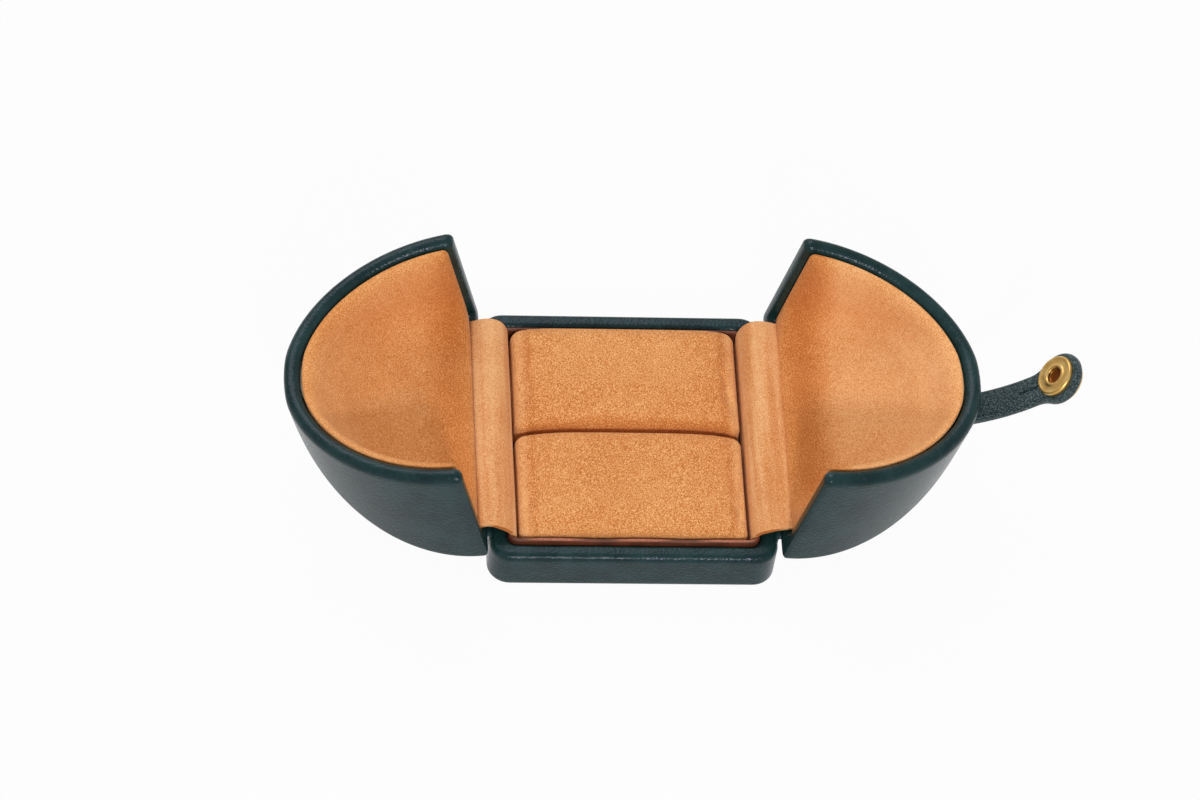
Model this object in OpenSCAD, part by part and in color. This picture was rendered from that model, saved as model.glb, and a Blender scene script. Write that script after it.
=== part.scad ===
// Ring display box in leather, lined with suede: a shallow base tray with two
// ring cushions, and two half-dome lids that open outwards and meet over it.
// A strap on the right lid closes over the seam and snaps to the left lid.
// Origin: centre of the base's underside. X across the hinges, Y to the back, Z up.

/* [Base] */
// Width of the base, from hinge to hinge
base_w = 60; // [54:1:72]
// Depth of the base, front to back
base_d = 62; // [54:1:76]
// Height of the base's rim above the table
base_h = 11; // [10:0.5:16]
// Corner radius of the base, seen from above
base_corner_r = 5; // [4:0.5:8]
// Radius of the leather over the rim's outer edge
base_rim_r = 1.4; // [1.2:0.1:2]
// Radius of the leather round the base's lower edge
base_foot_r = 2.4; // [1.6:0.1:3]
// Width of the rim, from the outer leather to the well
base_rim_w = 3.7; // [3.7:0.1:5]
// Thickness of the underside panel
panel_t = 0.7; // [0.5:0.1:1.2]
// How far the underside panel stays inside the base's outline
panel_margin = 3.5; // [3:0.5:6]

/* [Leather and board] */
// Thickness of the outer leather
leather_t = 1; // [0.8:0.1:1.1]
// Thickness of the leather where it is pared and turned in
turned_t = 0.6; // [0.4:0.1:0.7]
// Width of the turned-in leather inside a rim
turned_w = 5; // [3:0.5:6]
// Thickness of the suede
suede_t = 1; // [0.8:0.1:1.2]
// Thickness of the board in the base's floor
floor_t = 1.8; // [1.2:0.1:2.4]
// Thickness of the film of glue between two layers
glue_t = 0.05; // [0.03:0.01:0.08]

/* [Tray and cushions] */
// Thickness of the brown leather band round the well
band_t = 0.8; // [0.6:0.1:1]
// How far the band stands above the rim
band_proud = 1; // [0.4:0.1:1]
// Inner radius of the band's fold in the well's corners
band_fold_r = 0.6; // [0.4:0.1:0.6]
// Thickness of the card under the cushions
card_t = 0.6; // [0.4:0.1:1]
// How far the card stays inside the cushions' outline
card_margin = 1; // [0.8:0.1:1.4]
// Clearance round the cushions
soft_gap = 0.3; // [0.2:0.05:0.4]
// Width of the slot that grips a ring
slot_w = 0.5; // [0.4:0.1:1]
// Height of a cushion's rolled edge above the rim
cushion_edge = 1; // [0:0.25:1]
// Rise of a cushion's crown above its edge
cushion_crown = 2.2; // [1:0.2:3]
// How far a cushion's corners drop below its edge
cushion_drop = 1.4; // [0:0.2:2]
// Corner radius of a cushion, seen from above
cushion_corner_r = 2.6; // [2.2:0.2:3]
// How far a cushion's sides draw in at half height
cushion_waist = 0.3; // [0:0.1:0.4]

/* [Lids] */
// Height of the dome above the lids' lower edge
lid_h = 36.7; // [32:0.1:44]
// Fullness of the arch seen from the mating face: 2 is an ellipse
arch_power = 1.9; // [1.7:0.05:2.4]
// Fullness of the roof seen from the front: 2 is an ellipse
roof_power = 2.1; // [1.8:0.05:2.4]
// Width of a lid's rim, outer leather to hollow
lid_rim_w = 3.4; // [3.2:0.1:3.4]
// Radius of the ridge between a lid's walls
ridge_r = 1.2; // [0.8:0.1:2]
// Radius of the leather over a lid's rim
lid_rim_r = 1.5; // [1.2:0.1:1.7]
// Radius of the leather round a lid's lower edge
lid_foot_r = 0.8; // [0.4:0.1:1]
// How far the lining lies below the mating face
lining_recess = 0.9; // [0.7:0.1:1.5]
// Gap between the rim and the lining insert
lining_gap = 0.3; // [0.3:0.05:0.5]
// Thickness of the moulded former behind the lining
former_t = 0.9; // [0.9:0.1:1.4]
// Corner radius of the lined hollow
hollow_r = 9; // [5:0.5:12]
// Gap between the two closed lids
seam_gap = 0.3; // [0.2:0.1:0.6]
// Gap between a closed lid and the base's rim
hinge_gap = 0.6; // [0.5:0.1:1]
// Angle of the left lid in the open pose, from closed
left_open_angle = 105; // [90:1:112]
// Angle of the right lid in the open pose, from closed
right_open_angle = 101; // [90:1:112]

/* [Hinge leathers] */
// How far the hinge strips stay inside the base's front and back
strip_margin = 5; // [5:0.5:10]
// Height of the outer hinge leather's leaf on each side of the fold
leaf_h = 5; // [3:0.5:6]
// Thickness of the outer hinge leather
leaf_t = 0.6; // [0.4:0.1:0.7]
// Pull of the suede strip's curve at each of its ends
strip_slack = 1.8; // [1.2:0.2:3]
// Width of the suede strip glued inside the lid
strip_glued_w = 3; // [2.5:0.5:4]

/* [Strap] */
// Distance from the seam to the strap's root on the right lid
root_a = 13; // [12:0.5:14]
// Distance from the seam to the stud on the left lid
stud_a = 10; // [9:0.5:11]
// Width of the strap
strap_w = 7; // [5:0.5:8]
// Thickness of the strap
strap_t = 2.2; // [2:0.1:2.6]
// Radius of the strap's round head
head_r = 5.6; // [5.2:0.1:6.5]
// Radius of the strap's gentle curve
strap_bend_r = 40; // [34:1:42]
// Height of the strap above the dome at its root
root_lift = 1.9; // [1.9:0.1:2.4]
// How far the open strap is bent back from its closed place
strap_open_angle = 41; // [30:1:50]
// Thickness of the stiffener inside the strap
stiffener_t = 0.6; // [0.5:0.1:0.7]
// Width of leather along each edge of the stiffener
strap_border = 1; // [0.8:0.1:1.4]
// Thickness of the leaf that anchors the strap in the lid
anchor_t = 0.8; // [0.6:0.1:1]
// Length of the leaf that anchors the strap in the lid
anchor_len = 8; // [6:0.5:9]

/* [Snap] */
// Radius of the brass socket's face
socket_r = 4.4; // [3.8:0.1:4.8]
// Height of the socket above the strap
socket_h = 1.1; // [1:0.1:1.4]
// Radius of the socket's mouth
mouth_r = 2; // [1.8:0.1:2.2]
// Depth of the socket's cup in the strap
cup_h = 0.6; // [0.5:0.05:0.6]
// Thickness of the brass sheet
brass_t = 0.3; // [0.2:0.05:0.3]
// Radius of the cap on the strap's outer face
cap_r = 5; // [4:0.1:5.2]
// Height of the cap above the strap
cap_h = 0.9; // [0.6:0.1:1.2]
// Depth of the cap's seat in the leather
cap_seat = 0.3; // [0.3:0.05:0.4]
// Radius of the post through the leather
post_r = 1.2; // [0.9:0.1:1.3]
// Diameter of the spring wire across the mouth
wire_d = 0.45; // [0.35:0.05:0.5]
// Clearance between the closed snap's halves
snap_gap = 0.3; // [0.3:0.05:0.4]
// Height of the stud's head above its flange
stud_h = 1.1; // [0.9:0.05:1.1]
// Radius of the stud's flange
flange_r = 2.6; // [2:0.1:2.8]
// Thickness of the stud's flange
flange_t = 0.8; // [0.8:0.05:1]
// Depth of the stud's seat in the leather
stud_seat = 0.35; // [0.3:0.05:0.4]
// Depth of the board's remaining web under the rivet's washer
rivet_web = 2.2; // [2:0.1:2.2]
// Radius of the rivet's washer
washer_r = 2.2; // [1.8:0.1:2.4]
// Thickness of the rivet's washer
washer_t = 0.4; // [0.3:0.05:0.45]

/* [Hidden] */

green = [0.10, 0.20, 0.20];
tan_suede = [0.80, 0.53, 0.30];
brown = [0.52, 0.25, 0.16];
grey_board = [0.66, 0.60, 0.50];
white_foam = [0.93, 0.92, 0.88];
brass = [0.80, 0.62, 0.26];

cut = 1;                     // how far a cutting solid runs past the face it opens
sliver = 0.02;               // thickness of one slice of a blended form
round_fn = 72;               // sides of an exact cylinder
small_fn = 24;               // sides of a small hole in a moulded shell
slices = 10;                 // slices up a dome
side_points = 6;             // points up each side of a dome's section
corner_steps = 3;            // steps round a small corner
fillet_steps = 3;            // steps round an edge fillet
strip_steps = 12;            // steps along a hinge strip's curve

// The base, from the table up
cover_z = panel_t;
board_z = cover_z + leather_t + glue_t;
floor_z = board_z + floor_t;
well_x = base_w/2 - base_rim_w;
well_y = base_d/2 - base_rim_w;
well_r = band_t + band_fold_r;
band_x = well_x - glue_t;
band_y = well_y - glue_t;
band_top = base_h + band_proud;
strip_x = band_x - band_t - 2*glue_t - suede_t/2;    // centre of the suede strip's tail
strip_z = floor_z + glue_t;
cushion_x = strip_x - suede_t/2 - soft_gap;
cushion_y = (band_y - band_t - soft_gap - slot_w/2)/2;
cushion_mid = slot_w/2 + cushion_y;
card_z = floor_z + glue_t;
cushion_z = card_z + card_t + glue_t;
cushion_h = base_h + cushion_edge - cushion_z;
foam_inset = suede_t + cushion_waist + glue_t;
foam_h = cushion_h - cushion_drop - suede_t;

// A lid in its closed place: x from the hinge to the mating face, z up from its lower edge
lid_l = (base_w - seam_gap)/2;
lid_b = base_d/2;
axis_x = base_w/2;
axis_z = base_h + hinge_gap/2;
board_in = lid_rim_w - turned_t - glue_t;
insert_in = lid_rim_w + lining_gap;
insert_face = lining_recess + suede_t + glue_t;
suede_in = insert_in + former_t + 2*glue_t;
inner_rim_r = max(lid_rim_r - leather_t, 0.2);
inner_ridge_r = 0.4;
strip_len = base_d - 2*strip_margin;
strip_pared_t = 0.6*suede_t;
strip_u = lid_rim_w + glue_t + strip_pared_t/2;
strip_lean = lid_l - roof_a(strip_glued_w, lid_rim_w) - lid_rim_w;

function roof_z(a, inset) = (lid_h - inset)*pow(max(1 - pow(max(a, 0)/(lid_l - inset), roof_power), 0), 1/roof_power);
function roof_a(v, inset) = (lid_l - inset)*pow(1 - pow(max(v, 0)/(lid_h - inset), roof_power), 1/roof_power);
function arch_y(v, inset) = (lid_b - inset)*pow(1 - pow(max(v, 0)/(lid_h - inset), arch_power), 1/arch_power);
function roof_slope(a) = atan(lid_h/lid_l*pow(a/lid_l, roof_power - 1)
                              *pow(1 - pow(a/lid_l, roof_power), 1/roof_power - 1));
// How far a rounded edge of radius r draws in at depth t below its tangent plane
function edge_in(t, r) = t >= r ? 0 : r - sqrt(r*r - (r - t)*(r - t));
function fillet(r) = [for (i = [0:fillet_steps]) r*(1 - cos(90*i/fillet_steps))];
function arc(c, r, from, to, n) = [for (i = [0:n])
    let (angle = from + (to - from)*i/n) c + r*[cos(angle), sin(angle)]];

// Rounded rectangle from x0 to x1, with radius r0 at x0 and r1 at x1
function outline(x0, x1, b, r0, r1, n) = concat(
    arc([x0 + r0, r0 - b], r0, 180, 270, n), arc([x1 - r1, r1 - b], r1, 270, 360, n),
    arc([x1 - r1, b - r1], r1, 0, 90, n), arc([x0 + r0, b - r0], r0, 90, 180, n));

// The strap's closed curve, with x from the seam and z from the lids' lower edge
root_x = root_a + seam_gap/2;
root_z = roof_z(root_a, 0) + root_lift;
head_x = -stud_a - seam_gap/2;
head_z = roof_z(stud_a, 0) + strap_t/2 + socket_h + snap_gap + flange_t - stud_seat;
strap_chord = norm([root_x - head_x, root_z - head_z]);
strap_turn = 2*asin(strap_chord/2/strap_bend_r);
head_tilt = atan2(root_z - head_z, root_x - head_x) + strap_turn/2;
bend_x = head_x + strap_bend_r*sin(head_tilt);
bend_z = head_z - strap_bend_r*cos(head_tilt);

// The snap, measured along the strap's normal from its mid-surface
inner_face = -strap_t/2;
cup_z = inner_face + cup_h;
cap_z = strap_t/2 - cap_seat;
flange_z = inner_face - socket_h - snap_gap - flange_t;
cavity_r = mouth_r + 0.6;
cup_r = cavity_r + brass_t;
rolled_r = post_r + 0.5;
rolled_t = 0.2;
socket_seat = 0.25;
wire_x = mouth_r - wire_d/2;
stud_r = mouth_r - wire_d - snap_gap;
wire_z = inner_face - socket_h + brass_t + glue_t + wire_d/2;

// ---- Shared forms ----

module slice(z, pts) {
    translate([0, 0, z]) linear_extrude(sliver) polygon(pts);
}

// Exact plate with rounded corners
module plate(hx, hy, r, t) {
    linear_extrude(t) {
        square([2*(hx - r), 2*hy], center = true);
        square([2*hx, 2*(hy - r)], center = true);
        for (x = [-1, 1], y = [-1, 1]) translate([x*(hx - r), y*(hy - r)]) circle(r, $fn = round_fn);
    }
}

// A flat shape in the plane y = 0, made w wide and centred on that plane
module across(w) {
    rotate([90, 0, 0]) linear_extrude(w, center = true) children();
}

// ---- Base ----

// The base's outer form between z0 and z1, drawn in by inset, with a filleted foot and rim
module base_form(inset, z0, z1, foot_r, rim_r) {
    hull() {
        for (t = fillet(foot_r)) base_slice(z0 + t, inset + edge_in(t, foot_r));
        for (t = fillet(rim_r)) base_slice(z1 - sliver - t, inset + edge_in(t, rim_r));
    }
}

module base_slice(z, inset) {
    hx = base_w/2 - inset;
    r = max(base_corner_r - inset, 0.5);
    slice(z, outline(-hx, hx, base_d/2 - inset, r, r, 2*corner_steps));
}

module well(grow, z0) {
    translate([0, 0, z0]) plate(well_x + grow, well_y + grow, well_r + grow, base_h + cut);
}

module base_board() {
    color(grey_board) difference() {
        base_form(leather_t + glue_t, board_z, base_h - leather_t - glue_t,
                  base_foot_r - leather_t, base_rim_r - leather_t);
        well(turned_t + glue_t, floor_z);
    }
}

module base_cover() {
    leaf_z = base_h - leaf_h - glue_t;
    color(green) difference() {
        base_form(0, cover_z, base_h, base_foot_r, base_rim_r);
        difference() {
            base_form(leather_t, cover_z + leather_t, base_h - leather_t,
                      base_foot_r - leather_t, base_rim_r - leather_t);
            well(turned_t, base_h - turned_w);
        }
        well(0, floor_z);
        translate([0, 0, -cut]) plate(well_x - turned_w, well_y - turned_w, base_corner_r, floor_z + cut);
        for (s = [-1, 1]) translate([s*(base_w/2 - leaf_t - glue_t + base_w/2), 0, leaf_z + base_h/2])
            cube([base_w, strip_len + 2*glue_t, base_h], center = true);
    }
}

module underside_panel() {
    color(tan_suede) plate(base_w/2 - panel_margin, base_d/2 - panel_margin, base_corner_r - 1, panel_t - glue_t);
}

module tray_band() {
    color(brown) translate([0, 0, floor_z + glue_t]) difference() {
        plate(band_x, band_y, well_r, band_top - floor_z - glue_t);
        translate([0, 0, -cut]) plate(band_x - band_t, band_y - band_t, well_r - band_t, base_h + 2*cut);
    }
}

module cushion_card() {
    color(grey_board) translate([0, 0, card_z]) plate(cushion_x - card_margin,
        cushion_mid + cushion_y - card_margin, cushion_corner_r - card_margin, card_t);
}

// ---- Cushions ----

// Points round a cushion drawn in by inset, with the sides drawn in further by waist
function cushion_ring(inset, waist) = [for (q = [0:3], i = [0:8])
    let (hx = cushion_x - inset, hy = cushion_y - inset, r = max(cushion_corner_r - inset, 0.4),
         signs = [[1, -1], [1, 1], [-1, 1], [-1, -1]],
         corner = [signs[q][0]*(hx - r), signs[q][1]*(hy - r)],
         next = (q + 1)%4,
         far = [signs[next][0]*(hx - r), signs[next][1]*(hy - r)],
         out = [cos(90*q), sin(90*q)],
         s = (i - 3)/6)
    i < 4 ? corner + r*[cos(90*q - 90 + 30*i), sin(90*q - 90 + 30*i)]
          : corner + (far - corner)*s + out*(r - waist*4*s*(1 - s))];

// One row per ring of the cushion's surface: inset, height, share of the crown, share of the waist
rows = [[0.8, 0, 0, 0], [0, 0.8, 0, 0.3], [0, 0.45*cushion_h, 0.2, 1], [0, cushion_h - 1.6, 0.7, 0.4],
        [0.5, cushion_h - 0.6, 1, 0.2], [1.6, cushion_h, 1, 0], [4, cushion_h, 1, 0],
        [7, cushion_h, 1, 0], [10.5, cushion_h, 1, 0]];
ring_size = 36;

// The crown falls to nothing at the tray's edge, at high y, and stays full at the slot
function crown_z(p) = let (x = abs(p[0]/cushion_x), y = p[1]/cushion_y)
    cushion_crown*(1 - pow(x, 2.2))*(y > 0 ? 1 - pow(y, 2.5) : 1 - 0.45*y*y) - cushion_drop*pow(abs(x*y), 6);

module cushion_shape() {
    points = [for (row = rows) for (p = cushion_ring(row[0], row[3]*cushion_waist))
        [p[0], p[1], row[1] + row[2]*crown_z(p)]];
    top = len(points);
    last = len(rows) - 1;
    faces = concat(
        [[for (i = [0:ring_size - 1]) i]],
        [for (k = [0:last - 1], i = [0:ring_size - 1])
            [k*ring_size + i, (k + 1)*ring_size + i, k*ring_size + (i + 1)%ring_size]],
        [for (k = [0:last - 1], i = [0:ring_size - 1])
            [k*ring_size + (i + 1)%ring_size, (k + 1)*ring_size + i, (k + 1)*ring_size + (i + 1)%ring_size]],
        [for (i = [0:ring_size - 1]) [last*ring_size + i, top, last*ring_size + (i + 1)%ring_size]]);
    polyhedron(points = concat(points, [[0, 0, cushion_h + cushion_crown]]), faces = faces);
}

module foam_block(grow) {
    plate(cushion_x - foam_inset + grow, cushion_y - foam_inset + grow, cushion_corner_r - suede_t, foam_h + grow);
}

module cushion_cover(s) {
    color(tan_suede) translate([0, s*cushion_mid, cushion_z]) rotate(s > 0 ? 0 : 180) difference() {
        cushion_shape();
        translate([0, 0, -cut]) plate(cushion_x - foam_inset + glue_t,
            cushion_y - foam_inset + glue_t, cushion_corner_r - suede_t, foam_h + glue_t + cut);
    }
}

module cushion_foam(s) {
    color(white_foam) translate([0, s*cushion_mid, cushion_z]) foam_block(0);
}

// ---- Hinge leathers ----

// A point of a lid's plane y = 0 when that lid is opened by angle, drawn for the left lid
function lid_point(u, v, angle) = [
    u*cos(angle) - (v + hinge_gap/2)*sin(angle) - axis_x,
    u*sin(angle) + (v + hinge_gap/2)*cos(angle) + axis_z];

function bezier(p, q, r, s, t) = pow(1 - t, 3)*p + 3*t*pow(1 - t, 2)*q + 3*t*t*(1 - t)*r + pow(t, 3)*s;

// Outline of a ribbon along a list of points, with half its thickness given at each point
function ribbon(p, half) = let (n = len(p) - 1,
    side = [for (i = [0:n]) let (d = p[min(i + 1, n)] - p[max(i - 1, 0)]) half[i]*[-d[1], d[0]]/norm(d)])
    concat([for (i = [0:n]) p[i] + side[i]], [for (i = [n:-1:0]) p[i] - side[i]]);

// The suede strip: glued inside the lid, curved over both rims, its tail down in the well
function strip_path(angle) = let (
    start = lid_point(strip_u, 0, angle),
    end = [-strip_x, band_top + suede_t/2])
    concat([lid_point(strip_u + strip_lean, strip_glued_w, angle)],
           [for (i = [0:strip_steps]) bezier(start, start + strip_slack*[sin(angle), -cos(angle)],
                                             end + [0, strip_slack], end, i/strip_steps)],
           [[-strip_x, strip_z]]);

module suede_strip(angle) {
    half = concat([strip_pared_t/2],
                  [for (i = [0:strip_steps]) (strip_pared_t + (suede_t - strip_pared_t)*min(1, 2*i/strip_steps))/2],
                  [suede_t/2]);
    color(tan_suede) across(strip_len) polygon(ribbon(strip_path(angle), half));
}

module outer_leather(angle) {
    color(green) {
        translate([-axis_x, -strip_len/2, base_h - leaf_h]) cube([leaf_t, strip_len, leaf_h + hinge_gap/2]);
        translate([-axis_x, 0, axis_z]) {
            rotate([90, 0, 0]) cylinder(r = leaf_t, h = strip_len, center = true, $fn = round_fn);
            rotate([0, -angle, 0]) translate([0, -strip_len/2, 0]) cube([leaf_t, strip_len, leaf_h + hinge_gap/2]);
        }
    }
}

// ---- Lids ----

// A lid at its place in the open box; side is -1 for the left lid and 1 for the right
module opened(side) {
    translate([side*axis_x, 0, axis_z]) rotate([0, side < 0 ? -left_open_angle : right_open_angle, 0])
        translate([-side*axis_x, 0, hinge_gap/2]) children();
}

// A lid's own frame, with x from the hinge, in the frame of the closed box
module from_hinge(side) {
    mirror([side > 0 ? 1 : 0, 0, 0]) translate([-axis_x, 0, 0]) children();
}

// One upright section of the dome at distance a from the mating plane
module arch_section(a, inset, ridge, low) {
    top = max(roof_z(a, inset), 0.05)*0.9998;
    r = min(ridge, arch_y(top, inset));
    side = [for (i = [0:side_points]) max(top - r, 0)*sin(90*i/side_points)];
    heights = concat([-low], side, [for (i = [2:-1:0]) top - r*(1 - cos(30*i))]);
    right = [for (v = heights) [arch_y(v, inset) - edge_in(top - v, r), v]];
    left = [for (i = [len(right) - 1:-1:0]) [-right[i][0], right[i][1]]];
    translate([lid_l - a - sliver*(1 - max(a, 0)/lid_l), 0, 0]) rotate([90, 0, 90])
        linear_extrude(sliver) polygon(concat(right, left));
}

// Half-dome with a rounded rim, from the mating face at distance face, down to z = -low
module rimmed_dome(inset, ridge, face, rim, low) {
    l = lid_l - inset;
    rows = concat([for (t = fillet(rim)) [face + t, inset + edge_in(t, rim)]],
                  [for (i = [1:slices]) [l*pow(sin(90*i/slices), 2/roof_power), inset]]);
    for (i = [0:len(rows) - 2]) hull() {
        arch_section(rows[i][0], rows[i][1], ridge, low);
        arch_section(rows[i + 1][0], rows[i + 1][1], ridge, low);
    }
}

// Half-dome built of level slices from z0 up, its upright corners of radius r, ending at x1
module sliced_dome(inset, r, x1, z0) {
    h = lid_h - inset;
    top = 0.9995*(x1 < lid_l ? roof_z(lid_l - x1, inset) : h);
    levels = concat([z0], [for (v = [0, 0.03*h, 0.08*h]) if (v > z0 + sliver) v],
                    [for (i = [1:slices]) top*sin(90*i/slices)]);
    steps = r > 2 ? 2*corner_steps : 1;
    for (i = [0:len(levels) - 2]) hull() {
        dome_level(levels[i], inset, r, x1, steps);
        dome_level(levels[i + 1], inset, r, x1, steps);
    }
}

module dome_level(v, inset, r, x1, steps) {
    a = roof_a(v, inset);
    b = arch_y(v, inset);
    start = lid_l - a;
    corner = min(r, 0.9*min(a, x1 - start), 0.9*b);
    slice(v, concat(arc([start + corner, corner - b], corner, 270, 180, steps),
                    arc([start + corner, b - corner], corner, 180, 90, steps),
                    [[x1, b], [x1, -b]]));
}

// Everything below height z of a lid
module below(z) {
    translate([-lid_l, -base_d, z - 2*lid_h]) cube([3*lid_l, 2*base_d, 2*lid_h]);
}

// The rounded lower edge of a lid, as a form that the dome is kept within
module lid_foot() {
    hull() {
        for (t = fillet(lid_foot_r)) let (e = edge_in(t, lid_foot_r))
            slice(t, outline(e, lid_l - e, lid_b - e, ridge_r, 0.5, corner_steps));
        slice(lid_h + cut, outline(0, lid_l, lid_b, ridge_r, 0.5, corner_steps));
    }
}

// Rebate of the suede strip's glued end in the lining insert
module strip_rebate() {
    translate([lid_rim_w, -strip_len/2 - soft_gap, -cut])
        cube([strip_lean + strip_pared_t + 3*glue_t, strip_len + 2*soft_gap, strip_glued_w + 2*glue_t + cut]);
}

module lid_board() {
    difference() {
        rimmed_dome(leather_t + glue_t, inner_ridge_r, leather_t + glue_t, inner_rim_r, cut);
        below(leather_t + glue_t);
        sliced_dome(board_in, 1, lid_l + cut, -cut);
    }
}

module lid_cover() {
    difference() {
        intersection() {
            rimmed_dome(0, ridge_r, 0, lid_rim_r, cut);
            lid_foot();
        }
        difference() {
            rimmed_dome(leather_t, inner_ridge_r, leather_t, inner_rim_r, cut);
            below(leather_t);
            difference() {
                sliced_dome(lid_rim_w - turned_t, 1, lid_l + cut, -cut);
                translate([-cut, -base_d, turned_w]) cube([lid_l - turned_w + cut, 2*base_d, 2*lid_h]);
            }
        }
        sliced_dome(lid_rim_w, 1, lid_l + cut, -cut);
        translate([-cut, -strip_len/2 - glue_t, -cut])
            cube([cut + leaf_t + glue_t, strip_len + 2*glue_t, cut + leaf_h + glue_t]);
    }
}

module lining_former() {
    difference() {
        sliced_dome(insert_in, 1, lid_l - insert_face, insert_face);
        sliced_dome(insert_in + former_t, hollow_r + suede_t, lid_l + cut, -cut);
        strip_rebate();
    }
}

module lid_lining() {
    difference() {
        sliced_dome(insert_in, 1, lid_l - lining_recess, lining_recess);
        difference() {
            sliced_dome(insert_in - 0.1, 1, lid_l - lining_recess - suede_t, lining_recess + suede_t);
            sliced_dome(suede_in, hollow_r + suede_t - glue_t, lid_l + cut, -cut);
        }
        sliced_dome(suede_in + suede_t, hollow_r, lid_l + cut, -cut);
        strip_rebate();
    }
}

module lid_lining_at(side) {
    color(tan_suede) opened(side) from_hinge(side) lid_lining();
}

module lining_former_at(side) {
    color(grey_board) opened(side) from_hinge(side) lining_former();
}

module left_lid_board() {
    color(grey_board) opened(-1) difference() {
        from_hinge(-1) lid_board();
        at_snap() {
            translate([0, 0, flange_z - lid_h]) cylinder(r = post_r + glue_t, h = lid_h, $fn = small_fn);
            translate([0, 0, flange_z - rivet_web - lid_h]) cylinder(r = washer_r + glue_t, h = lid_h, $fn = small_fn);
        }
    }
}

module left_lid_cover() {
    color(green) opened(-1) difference() {
        from_hinge(-1) lid_cover();
        at_snap() {
            translate([0, 0, flange_z - glue_t]) cylinder(r = flange_r + glue_t, h = lid_h, $fn = small_fn);
            translate([0, 0, flange_z - leather_t - cut]) cylinder(r = post_r + glue_t, h = lid_h, $fn = small_fn);
        }
    }
}

module right_lid_board() {
    color(grey_board) opened(1) difference() {
        from_hinge(1) lid_board();
        anchor_form(glue_t);
    }
}

module right_lid_cover() {
    color(green) opened(1) difference() {
        from_hinge(1) lid_cover();
        anchor_form(glue_t);
    }
}

// ---- Strap ----

// The head's own frame in the closed box, with z along the strap's outward normal
module at_snap() {
    translate([head_x, 0, head_z]) rotate([0, -head_tilt, 0]) children();
}

// The strap's place in the open box
module strap_opened() {
    opened(1) translate([root_x, 0, root_z]) rotate([0, strap_open_angle, 0])
        translate([-root_x, 0, -root_z]) children();
}

// Curved band of thickness t and width w with a round head, on the strap's closed curve
module strap_band(t, w, r, over) {
    reach = 2*strap_bend_r;
    intersection() {
        translate([bend_x, 0, bend_z]) rotate([90, 0, 0]) difference() {
            cylinder(r = strap_bend_r + t/2, h = 3*r, center = true, $fn = round_fn);
            cylinder(r = strap_bend_r - t/2, h = 4*r, center = true, $fn = round_fn);
        }
        at_snap() translate([0, 0, -strap_bend_r/2]) linear_extrude(strap_bend_r) {
            circle(r, $fn = round_fn);
            translate([0, -w/2]) square([reach, w]);
        }
        across(4*r) polygon([for (angle = [strap_turn - head_tilt + over, 0, -head_tilt - 20])
            [bend_x + reach*sin(angle), bend_z + reach*cos(angle)], [bend_x, bend_z]]);
    }
}

// The leaf under the leather of the right lid, with the neck that comes up through its slit
module anchor_form(grow) {
    slope = roof_slope(root_a);
    along = [cos(slope), -sin(slope)];
    up = [sin(slope), cos(slope)];
    foot = [root_x, roof_z(root_a, 0)];
    depth = leather_t + anchor_t/2 + 4*glue_t;
    fold = foot - depth*up;
    end = [root_x + anchor_len, roof_z(root_a + anchor_len, depth)];
    half = anchor_t/2 + grow;
    across(strap_w - 2*strap_border + 2*grow) {
        polygon(ribbon([fold - (half - glue_t)*along, end + grow*along], [half, half]));
        polygon(ribbon([foot + 2*glue_t*up, fold], [half, half]));
    }
}

module strap_anchor() {
    color(green) opened(1) anchor_form(0);
}

module strap_stiffener() {
    color(grey_board) strap_opened() difference() {
        strap_band(stiffener_t, strap_w - 2*strap_border, head_r - strap_border, 0);
        at_snap() cylinder(r = post_r + glue_t, h = 2*strap_t, center = true, $fn = round_fn);
    }
}

module strap_leather() {
    color(green) strap_opened() difference() {
        union() {
            strap_band(strap_t, strap_w, head_r, 0);
            translate([root_x, 0, root_z]) rotate([90, 0, 0])
                cylinder(r = strap_t/2 - glue_t, h = strap_w, center = true, $fn = round_fn);
        }
        strap_band(stiffener_t + 2*glue_t, strap_w - 2*strap_border + 2*glue_t, head_r - strap_border + glue_t, 3);
        at_snap() {
            cylinder(r = post_r + glue_t, h = 4*strap_t, center = true, $fn = round_fn);
            translate([0, 0, cap_z - glue_t]) cylinder(r = cap_r + glue_t, h = strap_t, $fn = round_fn);
            translate([0, 0, cup_z + glue_t - strap_t]) cylinder(r = cup_r + glue_t, h = strap_t, $fn = round_fn);
            translate([0, 0, inner_face + socket_seat + glue_t - strap_t])
                cylinder(r = socket_r + glue_t, h = strap_t, $fn = round_fn);
        }
    }
}

// ---- Snap ----

module snap_socket() {
    lip = inner_face - socket_h;
    color(brass) strap_opened() at_snap() rotate_extrude($fn = round_fn) polygon([
        [post_r + glue_t, cup_z], [cup_r, cup_z], [cup_r, inner_face + socket_seat],
        [socket_r, inner_face + socket_seat], [socket_r, inner_face - 0.4*socket_h],
        [socket_r - 0.15, inner_face - 0.75*socket_h], [socket_r - 0.5, lip + 0.06],
        [socket_r - 0.9, lip], [mouth_r + 0.45, lip], [mouth_r + 0.1, lip + 0.1], [mouth_r, lip + brass_t],
        [cavity_r, lip + brass_t], [cavity_r, cup_z - brass_t], [post_r + glue_t, cup_z - brass_t]]);
}

module snap_spring() {
    r = cavity_r - glue_t - wire_d/2;
    color(brass) strap_opened() at_snap() translate([0, 0, wire_z]) {
        rotate_extrude($fn = round_fn) translate([r, 0]) circle(d = wire_d, $fn = small_fn);
        for (s = [-1, 1]) translate([s*wire_x, 0, 0]) rotate([90, 0, 0])
            cylinder(d = wire_d, h = 2*sqrt(r*r - wire_x*wire_x), center = true, $fn = small_fn);
    }
}

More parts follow.
